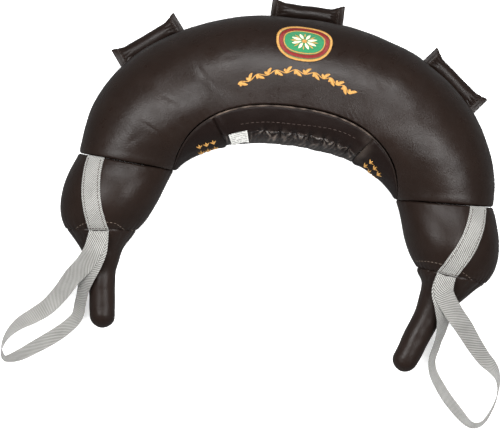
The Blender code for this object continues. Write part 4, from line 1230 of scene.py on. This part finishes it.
def handle_section(name):
    """The rule for a handle's oval, which is pinched flat towards its ends."""
    place = handle_frame(name)
    outer, along, out = place[1:]
    reaches = []
    for end in (-1, 1):
        skin = bag_point(*side_place(place, end * HANDLE_LENGTH / 2, HANDLE_HEIGHT))
        reaches.append(float((skin[:2] - outer) @ out))
    hinge_out = max(reaches) + TAB_THICKNESS + 2 * GAP + FIN_HALF_THICKNESS
    fin_low, fin_high = hinge_out - FIN_HALF_THICKNESS, HANDLE_REACHES[name] + FIN_FLARE
    centre_out = HANDLE_REACHES[name] - HANDLE_HALF_DEPTH

    def place_at(along_share, out_distance, height):
        """A point beside the bag, from its place along the handle, its distance out and its height."""
        along_share, out_distance, height = np.broadcast_arrays(along_share, out_distance, height)
        run = along_share * HANDLE_LENGTH / 2
        plan = outer + along * run[..., None] + out * out_distance[..., None]
        return np.concatenate([plan, height[..., None]], -1)

    def section(share):
        pinch = smooth((np.abs(share) - (1 - 2 * FIN_SHARE)) / (2 * FIN_SHARE))
        return (mix(centre_out, (fin_low + fin_high) / 2, pinch),
                mix(HANDLE_HALF_DEPTH, (fin_high - fin_low) / 2, pinch),
                mix(HANDLE_HALF_DEPTH, FIN_HALF_THICKNESS, pinch))

    return place_at, section


def build_handles():
    """Three padded leather handles, gathered and sewn flat at both ends."""
    share = np.linspace(-1, 1, 141)[:, None]
    angles = np.linspace(0, 2 * np.pi, 61)[:-1]
    ends = np.clip((np.abs(share) - 0.985) / 0.015, 0, 1)
    drawn, sewn = (bead(np.abs(share), *band) for band in (HANDLE_FOLD_BAND, HANDLE_SEWN_LINE))
    for number, name in enumerate(HANDLE_ANGLES):
        place_at, section = handle_section(name)
        middle, wide, high = section(share)
        wide, high = wide - ends * 0.0008, high * (1 - 0.35 * ends)
        gather = folds(angles * HANDLE_FOLDS + number + np.sign(share) * 0.7)
        rings = place_at(share, middle + wide * np.cos(angles), HANDLE_HEIGHT + high * np.sin(angles))
        depth = gather * drawn + sewn + soft_noise(rings, 0.022, 111 + number) * 0.0005
        rings = rings - unit(rings - place_at(share, middle, HANDLE_HEIGHT)) * depth[..., None]
        handle = tube_object(f"handle_skin_{name}", rings, finish("cowhide_grips"))
        rides(handle, f"{name}_handle", (f"handle_cover_{name}", f"handle_core_{name}"))


def build_label():
    """The blank woven label, sewn at its top edge and curling a little at its free one."""
    station = LABEL_PLACE_SHARE
    top = float(angle_shift(station, flap_angle(station), -LABEL_WIDTH / 3))
    half = float(station_shift(station, top, LABEL_LENGTH / 2)) - station
    along = np.linspace(half, -half, 36)[:, None]
    down = np.linspace(-0.29, 2 / 3, 30)
    places = station + along + 0 * down
    angles = angle_shift(places, flap_angle(places), LABEL_WIDTH * down)
    base, out = bag_point(places, angles), bag_normal(places, angles)
    free = (down + 1 / 3)[None, :]
    wave = LABEL_WAVE * np.sin(np.linspace(0, 7, 36))[:, None] * free
    curl = LABEL_LIFT + LABEL_CURL * free ** 1.5 + wave
    uv = np.stack([along / (2 * half) * LABEL_LENGTH + 0 * down, LABEL_WIDTH * down + 0 * along], -1)
    label = sheet_object("care_label_tape", base + out * curl[..., None], out, LABEL_TAPE_THICKNESS,
                         finish("label_satin_tape"), uv)
    rides(label, "label", ("care_label",))


def tree_inputs(name, lengths, numbers=()):
    """A new node tree that steps along a path. Its inputs are the path, sizes, plain numbers and a finish."""
    tree = bpy.data.node_groups.new(name, "GeometryNodeTree")
    tree.interface.new_socket("Path", in_out="INPUT", socket_type="NodeSocketGeometry")
    for label, value in lengths:
        socket = tree.interface.new_socket(label, in_out="INPUT", socket_type="NodeSocketFloat")
        socket.subtype = "DISTANCE"
        socket.default_value = value
    for label, value in numbers:
        tree.interface.new_socket(label, in_out="INPUT", socket_type="NodeSocketFloat").default_value = value
    tree.interface.new_socket("Finish", in_out="INPUT", socket_type="NodeSocketMaterial")
    tree.interface.new_socket("Threads", in_out="OUTPUT", socket_type="NodeSocketGeometry")
    given = node(tree, "NodeGroupInput").outputs
    curve = node(tree, "GeometryNodeMeshToCurve", {"Mesh": given["Path"]})
    steps = node(tree, "GeometryNodeResampleCurve", {"Curve": curve, "Length": given["Spacing"]},
                 mode="LENGTH")
    return tree, given, steps


def threads_out(tree, given, steps, forward, up, thread_length, sides, rings):
    """Ends a tree: a rounded thread at each step of the path, made real and given its finish."""
    thick = given["Thread thickness"]
    size = node(tree, "ShaderNodeCombineXYZ", {0: thread_length, 1: thick, 2: thick})
    turn = node(tree, "FunctionNodeAxesToRotation", {"Primary Axis": forward, "Secondary Axis": up},
                primary_axis="X", secondary_axis="Z")
    thread = node(tree, "GeometryNodeMeshUVSphere", {"Segments": sides, "Rings": rings, "Radius": 0.5})
    lying = node(tree, "GeometryNodeTransform", {"Geometry": thread, "Rotation": (0, math.pi / 2, 0)})
    soft = node(tree, "GeometryNodeSetShadeSmooth", {"Geometry": lying})
    placed = node(tree, "GeometryNodeInstanceOnPoints",
                  {"Points": steps, "Instance": soft, "Rotation": turn, "Scale": size})
    real = node(tree, "GeometryNodeRealizeInstances", {0: placed})
    done = node(tree, "GeometryNodeSetMaterial", {"Geometry": real, "Material": given["Finish"]})
    node(tree, "NodeGroupOutput", {"Threads": done})
    return tree


def stitch_tree():
    """Sewn stitches in a row along a path: each lies in the path's direction."""
    lengths = (("Stitch length", 0.0040), ("Spacing", 0.0060), ("Thread thickness", 0.0009))
    tree, given, steps = tree_inputs("stitch_row", lengths)
    ahead = node(tree, "GeometryNodeInputTangent")
    up = node(tree, "GeometryNodeInputNamedAttribute", {"Name": "up"}, data_type="FLOAT_VECTOR")
    return threads_out(tree, given, steps, ahead, up, given["Stitch length"], 8, 6)


def satin_tree():
    """Satin stitch along a path: threads laid side by side across it, short at the ends of a leaf."""
    lengths = (("Width", 0.0040), ("Spacing", 0.0006), ("Thread thickness", 0.0009))
    tree, given, steps = tree_inputs("satin_band", lengths, (("Roundness", 0.0), ("Slant", 0.3)))
    ahead = node(tree, "GeometryNodeInputTangent")
    up = node(tree, "GeometryNodeInputNamedAttribute", {"Name": "up"}, data_type="FLOAT_VECTOR")
    across = node(tree, "ShaderNodeVectorMath", {0: up, 1: ahead}, operation="CROSS_PRODUCT")
    slant = node(tree, "ShaderNodeVectorMath", {0: ahead, "Scale": given["Slant"]}, operation="SCALE")
    slanted = node(tree, "ShaderNodeVectorMath", {0: across, 1: slant}, operation="ADD")
    place = node(tree, "GeometryNodeSplineParameter").outputs["Factor"]
    turn = node(tree, MATHS, {0: place, 1: math.pi}, operation="MULTIPLY")
    bow = node(tree, MATHS, {0: turn}, operation="SINE")
    held = node(tree, MATHS, {0: bow, 1: 0.02}, operation="MAXIMUM")
    full = node(tree, MATHS, {0: held, 1: given["Roundness"]}, operation="POWER")
    wide = node(tree, MATHS, {0: full, 1: given["Width"]}, operation="MULTIPLY")
    return threads_out(tree, given, steps, slanted, up, wide, 6, 5)


def thread_object(name, lines, kind, values, thread, body):
    """Runs a node tree along lines of points and their directions, and keeps the threads as a plain mesh."""
    tree = bpy.data.node_groups.get(kind) or {"stitch_row": stitch_tree, "satin_band": satin_tree}[kind]()
    points, ways, edges = [], [], []
    for places, ups in lines:
        edges += [(len(points) + i, len(points) + i + 1) for i in range(len(places) - 1)]
        points += [tuple(p) for p in places]
        ways += [tuple(u) for u in ups]
    mesh = bpy.data.meshes.new(f"{name}_path")
    mesh.from_pydata(points, edges, [])
    up = mesh.attributes.new("up", "FLOAT_VECTOR", "POINT")
    up.data.foreach_set("vector", np.array(ways, np.float32).ravel())
    path = bpy.data.objects.new(f"{name}_path", mesh)
    bpy.context.scene.collection.objects.link(path)
    modifier = path.modifiers.new("threads", "NODES")
    modifier.node_group = tree
    given = {**values, "Finish": finish(thread)}
    for socket in tree.interface.items_tree:
        if socket.item_type == "SOCKET" and socket.in_out == "INPUT" and socket.name in given:
            modifier[socket.identifier] = given[socket.name]
    path.data.update()
    seen = path.evaluated_get(bpy.context.evaluated_depsgraph_get())
    made = bpy.data.meshes.new_from_object(seen)
    bpy.data.objects.remove(path, do_unlink=True)
    if not made.polygons:
        raise RuntimeError(f"no threads were made for {name}")
    made.name = name
    item = bpy.data.objects.new(name, made)
    bpy.context.scene.collection.objects.link(item)
    rides(item, body)


def satin(name, lines, width, thread, slot, slant=0.3, roundness=0.0, **own):
    """Embroiders bands or leaves in satin stitch."""
    sizes = bpy.context.scene.bag_sizes
    values = {"Width": width, "Spacing": sizes.satin_spacing, "Thread thickness": sizes.satin_thickness,
              "Roundness": roundness, "Slant": slant}
    values.update({key.replace("_", " ").capitalize(): value for key, value in own.items()})
    thread_object(name, lines, "satin_band", values, thread, "bag")


def sew(name, lines, seam, thread, body="bag"):
    """Sews rows of stitches with the sizes of one kind of seam."""
    sizes = getattr(bpy.context.scene.bag_sizes, seam)
    values = dict(zip(("Stitch length", "Spacing", "Thread thickness"), sizes))
    thread_object(name, lines, "stitch_row", values, thread, body)


def skin_line(stations, angles, tree, lift):
    """A line over the bag from stations and angles, laid on the finished skin."""
    base, out = bag_point(stations, angles), bag_normal(stations, angles)
    return drop_on(tree, base, out, lift), out


def patch_points(x, y, lift, tree):
    """Points of the badge from places on it: x along the crescent and y across it."""
    half = float(station_shift(0.00001, PATCH_ANGLE, PATCH_LENGTH / 2))
    half *= PATCH_LENGTH / 2 / float(length(bag_point(half, PATCH_ANGLE) - bag_point(0, PATCH_ANGLE))[0])
    station = half * power(np.asarray(x) / (PATCH_LENGTH / 2), OUTER_FULLNESS / 2)
    angle = angle_shift(station, PATCH_ANGLE + 0 * station, np.asarray(y))
    return skin_line(station, angle, tree, lift)


def oval(wide, high, count=241, fullness=PATCH_FULLNESS):
    """Places round an oval that is a little squarer than an ellipse."""
    turn = np.linspace(0, 2 * np.pi, count)
    return wide * power(np.cos(turn), 2 / fullness), high * power(np.sin(turn), 2 / fullness)


def build_badge():
    """An embroidered oval badge: merrowed edge, red and gold rings, and a rosette on green twill."""
    tree = surface_of(piece("front_skin"))
    rows = np.linspace(-1, 1, 70)
    across = np.linspace(-1, 1, 40)
    reach = PATCH_WIDTH / 2 * np.maximum(0.14, np.sqrt(1 - np.minimum(1, np.abs(rows)) ** PATCH_FULLNESS))
    x = rows[:, None] * (PATCH_LENGTH / 2 - 0.001) + 0 * across
    y = reach[:, None] * across * 0.975
    top, out = patch_points(x, y, BADGE_LIFT, tree)
    swell = 1 - (x / 0.044) ** 2 - (y / 0.033) ** 2
    top = top + out * (BADGE_SWELL * swell).clip(0)[..., None]
    ground = sheet_object("badge_ground", top, out, BADGE_THICKNESS, finish("badge_twill"),
                          np.stack([x, y], -1))
    rides(ground, "bag", ("badge_patch",))

    def ring(name, inset, width, lift, thread, slant, **own):
        places = oval(PATCH_LENGTH / 2 - inset, PATCH_WIDTH / 2 - inset)
        satin(name, [patch_points(*places, lift, tree)], width, thread, "badge", slant, **own)

    ring("badge_edge", 0.0016, 0.0044, 0.0017, "rayon_thread_gold", 0.35,
         spacing=0.0009, thread_thickness=0.0013)
    ring("badge_red_ring", 0.0072, 0.0074, 0.0018, "rayon_thread_red", 0.15)
    ring("badge_gold_ring", 0.0118, 0.0019, 0.0022, "rayon_thread_gold", 0.4)

    def rays(first_turn, near, far, lift, count):
        """Lines that run out from the badge's middle, eight to the round."""
        away = np.linspace(near, far, count)
        turns = [(i + first_turn) * math.pi / 4 for i in range(8)]
        return [patch_points(away * math.cos(t) * 1.45, away * math.sin(t), lift, tree) for t in turns]

    satin("badge_petals", rays(0.5, 0.0035, 0.0142, 0.0021, 24), 0.0054, "rayon_thread_pale", "badge",
          0.35, 0.75, spacing=0.0005)
    satin("badge_leaves", rays(0, 0.0075, 0.0150, 0.0020, 16), 0.0024, "rayon_thread_gold", "badge",
          0.3, 0.9, spacing=0.0005)
    heart = [patch_points(*oval(0.0024, 0.0019, 31, 2.0), 0.0023, tree)]
    satin("badge_heart", heart, 0.0042, "rayon_thread_gold", "badge", 0.2)


def leaf(start, along, length_mm, bow):
    """Places of a leaf's midline in the plan, bowed to one side."""
    share = np.linspace(0, 1, 9)[:, None]
    side = np.array([-along[1], along[0]])
    return start + along * share * length_mm + side * bow * length_mm * share * (1 - share)


def build_ornament():
    """Gold embroidery on the hide: a running scroll of leaves on the front, and sprigs on each wedge."""
    front = surface_of(piece("front_skin"))
    stem = smooth_line(BAND_ROUTE, 181)
    wave = np.linspace(0, SCROLL_WAVES * 2 * np.pi, 181)
    ahead = unit(np.gradient(stem, axis=0))
    aside = np.stack([-ahead[:, 1], ahead[:, 0]], -1)
    stem = stem + aside * np.sin(wave)[:, None] * 2.6
    satin("front_scroll_stem", [drop_down(front, stem / 1000, STEM_LIFT)], 0.0020, "rayon_thread_gold",
          "leather", 0.8, spacing=0.0007, thread_thickness=0.0010)
    leaves = {"large": [], "small": []}
    for k in range(2 * SCROLL_WAVES):
        i = int(round((k + 0.5) / (2 * SCROLL_WAVES) * 180))
        way = 1 if math.sin(wave[i]) < 0 else -1
        for size, turn, leaf_length, bow in (("large", 46, 13.0, 0.35), ("small", 112, 7.0, -0.3)):
            turn = math.radians(turn) * way
            along = ahead[i] * math.cos(turn) + aside[i] * math.sin(turn)
            places = leaf(stem[i], along, leaf_length, bow * way) / 1000
            leaves[size].append(drop_down(front, places, LEAF_LIFT))
    satin("front_scroll_leaves", leaves["large"] + leaves["small"], 0.0060, "rayon_thread_gold", "leather",
          0.4, 0.7)
    for side_name, _ in SIDES:
        wedge = surface_of(piece(f"gusset_skin_{side_name}"))
        start, end = (np.array(p, float) for p in MARK_ROUTES[side_name])
        run = (end - start) / np.linalg.norm(end - start)
        up = np.array([-run[1], run[0]])
        sprigs = []
        for row in (-1, 1):
            for place in (0.14, 0.5, 0.86):
                base = start + (end - start) * place + up * (row * 4.8 - 2.5)
                for way in (-1, 0, 1):
                    along = run * 0.75 * way + up * (1 - 0.35 * abs(way))
                    sprigs.append(drop_down(wedge, leaf(base, along, 6.2, 0.3 * way) / 1000, LEAF_LIFT))
        satin(f"wedge_sprigs_{side_name}", sprigs, 0.0028, "rayon_thread_gold", "leather", 0.3, 0.6)


def build_stitching():
    """The sewn lines: along the flap, at the pleats, round the necks, on the webbing and on the handles."""
    stations = np.linspace(-0.27, 0.33, 200)
    flap = surface_of(piece("flap_skin"))
    # The topstitch comes nearer to the welt towards the right
    below = TOPSTITCH_BELOW - TOPSTITCH_RISE * smooth((stations + 0.02) / 0.32)
    row = skin_line(stations, angle_shift(stations, gusset_angle(stations), below), flap, STITCH_LIFT)
    sew("flap_topstitch", [row], "topstitch", "waxed_thread_brown")
    pins = []
    for first, last in zip((-0.2, *PLEAT_STATIONS), (*PLEAT_STATIONS, 0.4)):
        places = np.linspace(mix(first, last, 0.25), mix(last, first, 0.25), 12)
        angles = angle_shift(places, gusset_angle(places), FLAP_WIDTH - PIN_STITCH_ABOVE)
        pins.append(skin_line(places, angles, flap, STITCH_LIFT))
    sew("pleat_pin_stitches", pins, "pin_stitch", "waxed_thread_brown")
    closure = surface_of(piece("closure_skin"))
    places = np.linspace(-0.24, 0.3, 260)
    angles = angle_shift(places, flap_angle(places), CLOSURE_STITCH_BELOW)
    row = skin_line(places, angles, closure, FINE_STITCH_LIFT)
    sew("closure_stitches", [row], "closure_stitch", "waxed_thread_dark")
    for side_name, side in SIDES:
        cap = surface_of(piece(f"cap_skin_front_{side_name}"), piece(f"cap_skin_back_{side_name}"))
        plan = smooth_line(np.array(NECK_LINES[side_name]) / 1000, 80)
        sew(f"neck_stitches_{side_name}", [drop_down(cap, plan, STITCH_LIFT)], "neck_stitch",
            "waxed_thread_light")
        strap = surface_of(piece(f"strap_webbing_{side_name}"))
        along = np.linspace(0.05, 0.96, 90)
        across = np.linspace(-STRAP_ROW_HALF, STRAP_ROW_HALF, 30)
        places = [strap_places(side_name, side, along, edge + 0 * along)
                  for edge in (-STRAP_ROW_OFFSET, STRAP_ROW_OFFSET)]
        places.append(strap_places(side_name, side, STRAP_ROW_END + 0 * across, across))
        rows = [skin_line(*place, strap, FINE_STITCH_LIFT) for place in places]
        sew(f"strap_stitches_{side_name}", rows, "strap_stitch", "waxed_thread_dark")
    out_share = np.linspace(-0.82, 0.82, 24)
    for name in HANDLE_ANGLES:
        place_at, section = handle_section(name)
        skin = surface_of(piece(f"handle_skin_{name}"))
        rows = []
        for share in HANDLE_ROWS:
            middle, wide, _ = section(np.array(share))
            plan = place_at(share, middle + out_share * wide, HANDLE_HEIGHT)[:, :2]
            rows.append(drop_down(skin, plan, FINE_STITCH_LIFT))
        sew(f"handle_stitches_{name}", rows, "handle_stitch", "waxed_thread_dark", body=f"{name}_handle")


def build_tabs():
    """The sewn tabs behind the handles keep their solid shape, in the bag's own hide."""
    for name in HANDLE_ANGLES:
        for end in ("near", "far"):
            tab = piece(f"handle_tab_{name}_{end}")
            for place in tab.material_slots:
                place.link = "OBJECT"
                place.material = finish("cowhide_grips")


def build_stage():
    """A white studio floor, three soft lights overhead, a dim surround and the camera."""
    scene = bpy.context.scene
    mesh = bpy.data.meshes.new("studio_floor")
    corners = [(x * FLOOR_REACH, y * FLOOR_REACH, 0) for x, y in ((-1, -1), (1, -1), (1, 1), (-1, 1))]
    mesh.from_pydata(corners, [], [(0, 1, 2, 3)])
    floor = bpy.data.objects.new("studio_floor", mesh)
    floor.location.z = -0.0005
    scene.collection.objects.link(floor)
    tree, shader = new_material("studio_floor_white")
    # Seen by the camera the floor is lifted to white, and still shows the bag's own shadow.
    # Mirrored in the hide it is dim, as the dark surround of a studio is
    ray = node(tree, "ShaderNodeLightPath").outputs
    white, dim = ((grey, grey, grey, 1) for grey in (FLOOR_WHITE, FLOOR_IN_GLOSS))
    colour = node(tree, MIX, {0: ray["Is Glossy Ray"], 6: white, 7: dim}, data_type="RGBA").outputs[2]
    glow = node(tree, MATHS, {0: ray["Is Camera Ray"], 1: FLOOR_GLOW}, operation="MULTIPLY")
    plug(shader, {"Base Color": colour, "Roughness": 0.9, "Specular IOR Level": 0.1,
                  "Emission Color": (1, 1, 1, 1), "Emission Strength": glow})
    mesh.materials.append(bpy.data.materials["studio_floor_white"])

    for name, place, wide, deep, watts in SOFTBOXES:
        lamp = bpy.data.lights.new(name, "AREA")
        lamp.shape = "RECTANGLE"
        lamp.size = wide
        lamp.size_y = deep
        lamp.energy = watts
        box = bpy.data.objects.new(name, lamp)
        box.location = place
        box.rotation_euler = (Vector(LIT_PLACE) - box.location).to_track_quat("-Z", "Y").to_euler()
        scene.collection.objects.link(box)

    world = bpy.data.worlds.new("studio_surround")
    scene.world = world
    world.use_nodes = True
    plug(world.node_tree.nodes["Background"], {"Color": (1, 1, 1, 1), "Strength": SURROUND_STRENGTH})

    lens = bpy.data.cameras.new("product_camera")
    lens.lens = CAMERA_LENS
    lens.sensor_width = 36.0
    lens.clip_end = 50.0
    camera = bpy.data.objects.new("product_camera", lens)
    camera.location = CAMERA_PLACE
    camera.rotation_euler = (0, 0, CAMERA_TURN)
    scene.collection.objects.link(camera)
    scene.camera = camera
    scene.view_settings.view_transform = "Standard"


def seam_property(label, sizes):
    """A seam's stitch length, spacing and thread thickness, which a user can change."""
    return FloatVectorProperty(name=label, description="Stitch length, spacing and thread thickness", size=3,
                               default=sizes, min=0.0002, max=0.03, unit="LENGTH")


def colour_property(label, description, code):
    """A colour that a user can change."""
    return FloatVectorProperty(name=label, description=description, size=3, subtype="COLOR",
                               default=linear(code), min=0, max=1)


class BagSizes(PropertyGroup):
    """Sizes of the sewing and the embroidery."""
    topstitch: seam_property("Flap topstitch", (0.0056, 0.0078, 0.0008))
    pin_stitch: seam_property("Pleat stitches", (0.0042, 0.0056, 0.0009))
    closure_stitch: seam_property("Closure stitches", (0.0040, 0.0062, 0.0008))
    neck_stitch: seam_property("Neck stitches", (0.0046, 0.0066, 0.0010))
    strap_stitch: seam_property("Strap stitches", (0.0038, 0.0049, 0.0012))
    handle_stitch: seam_property("Handle stitches", (0.0032, 0.0044, 0.0008))
    satin_spacing: FloatProperty(name="Satin spacing", description="From one embroidery thread to the next",
                                 default=0.0006, min=0.0003, max=0.004, unit="LENGTH")
    satin_thickness: FloatProperty(name="Satin thickness", description="Thickness of the embroidery thread",
                                   default=0.0009, min=0.0002, max=0.004, unit="LENGTH")


class BagColours(PropertyGroup):
    """Colours of the hide and the webbing."""
    leather_dark: colour_property("Leather, dark tone", "The hide's darker tone", "#1A1310")
    leather_light: colour_property("Leather, light tone", "The hide's lighter tone", "#241B17")
    # The furrow tone is painted shade between the ribs
    webbing_dark: colour_property("Webbing, furrows", "The webbing between its ribs", "#54534F")
    webbing_light: colour_property("Webbing, ribs", "The webbing on its ribs", "#A9A8A4")


class BAG_OT_materials(Operator):
    """Make the finishes of the hide, webbing, threads, badge and label"""
    bl_idname = "bag.materials"
    bl_label = "Finishes"

    def execute(self, context):
        make_materials()
        return {"FINISHED"}


class BAG_OT_panels(Operator):
    """Build the front and back panels of the crescent"""
    bl_idname = "bag.panels"
    bl_label = "Crescent panels"

    def execute(self, context):
        build_panels()
        return {"FINISHED"}


class BAG_OT_gusset(Operator):
    """Build the inner gusset's wedges, its flap and the pleated closure"""
    bl_idname = "bag.gusset"
    bl_label = "Gusset and pleats"

    def execute(self, context):
        build_gusset()
        return {"FINISHED"}


class BAG_OT_welts(Operator):
    """Build the rolled edges along the gusset"""
    bl_idname = "bag.welts"
    bl_label = "Rolled edges"

    def execute(self, context):
        build_welts()
        return {"FINISHED"}


class BAG_OT_caps(Operator):
    """Build the bulbous end caps"""
    bl_idname = "bag.caps"
    bl_label = "End caps"

    def execute(self, context):
        build_caps()
        return {"FINISHED"}


class BAG_OT_grips(Operator):
    """Build the two leather grips"""
    bl_idname = "bag.grips"
    bl_label = "Grips"

    def execute(self, context):
        build_grips()
        return {"FINISHED"}


class BAG_OT_webbing(Operator):
    """Build the sewn webbing and the loose loops"""
    bl_idname = "bag.webbing"
    bl_label = "Webbing"

    def execute(self, context):
        build_webbing()
        return {"FINISHED"}


class BAG_OT_handles(Operator):
    """Build the padded handles and finish their tabs"""
    bl_idname = "bag.handles"
    bl_label = "Handles"

    def execute(self, context):
        build_handles()
        build_tabs()
        return {"FINISHED"}


class BAG_OT_label(Operator):
    """Build the blank woven label"""
    bl_idname = "bag.label"
    bl_label = "Label"

    def execute(self, context):
        build_label()
        return {"FINISHED"}


class BAG_OT_badge(Operator):
    """Build the embroidered badge"""
    bl_idname = "bag.badge"
    bl_label = "Badge"

    def execute(self, context):
        build_badge()
        return {"FINISHED"}


class BAG_OT_ornament(Operator):
    """Embroider the scroll on the front and the sprigs on the wedges"""
    bl_idname = "bag.ornament"
    bl_label = "Embroidery"

    def execute(self, context):
        build_ornament()
        return {"FINISHED"}


class BAG_OT_stitching(Operator):
    """Sew the visible stitch lines"""
    bl_idname = "bag.stitching"
    bl_label = "Stitching"

    def execute(self, context):
        build_stitching()
        return {"FINISHED"}


class BAG_OT_stage(Operator):
    """Set up the studio floor, light, surround and camera"""
    bl_idname = "bag.stage"
    bl_label = "Studio stage"

    def execute(self, context):
        build_stage()
        return {"FINISHED"}


STEPS = (BAG_OT_materials, BAG_OT_panels, BAG_OT_gusset, BAG_OT_welts, BAG_OT_caps, BAG_OT_grips,
         BAG_OT_webbing, BAG_OT_handles, BAG_OT_label, BAG_OT_badge, BAG_OT_ornament, BAG_OT_stitching,
         BAG_OT_stage)


class BAG_PT_steps(Panel):
    """The training bag's sizes, colours and building steps"""
    bl_idname = "BAG_PT_steps"
    bl_label = "Training bag"
    bl_space_type = "VIEW_3D"
    bl_region_type = "UI"
    bl_category = "Training bag"

    def draw(self, context):
        for group in (context.scene.bag_sizes, context.scene.bag_colours):
            column = self.layout.column()
            for name in group.bl_rna.properties.keys():
                if name not in ("name", "rna_type"):
                    column.prop(group, name)
        for step in STEPS:
            self.layout.operator(step.bl_idname)


CLASSES = (BagSizes, BagColours, *STEPS, BAG_PT_steps)


def register():
    for item in CLASSES:
        bpy.utils.register_class(item)
    bpy.types.Scene.bag_sizes = PointerProperty(type=BagSizes)
    bpy.types.Scene.bag_colours = PointerProperty(type=BagColours)


def unregister():
    del bpy.types.Scene.bag_colours
    del bpy.types.Scene.bag_sizes
    for item in reversed(CLASSES):
        bpy.utils.unregister_class(item)


def main():
    register()
    for step in STEPS:
        group, name = step.bl_idname.split(".")
        getattr(getattr(bpy.ops, group), name)()


if __name__ == "__main__":
    main()
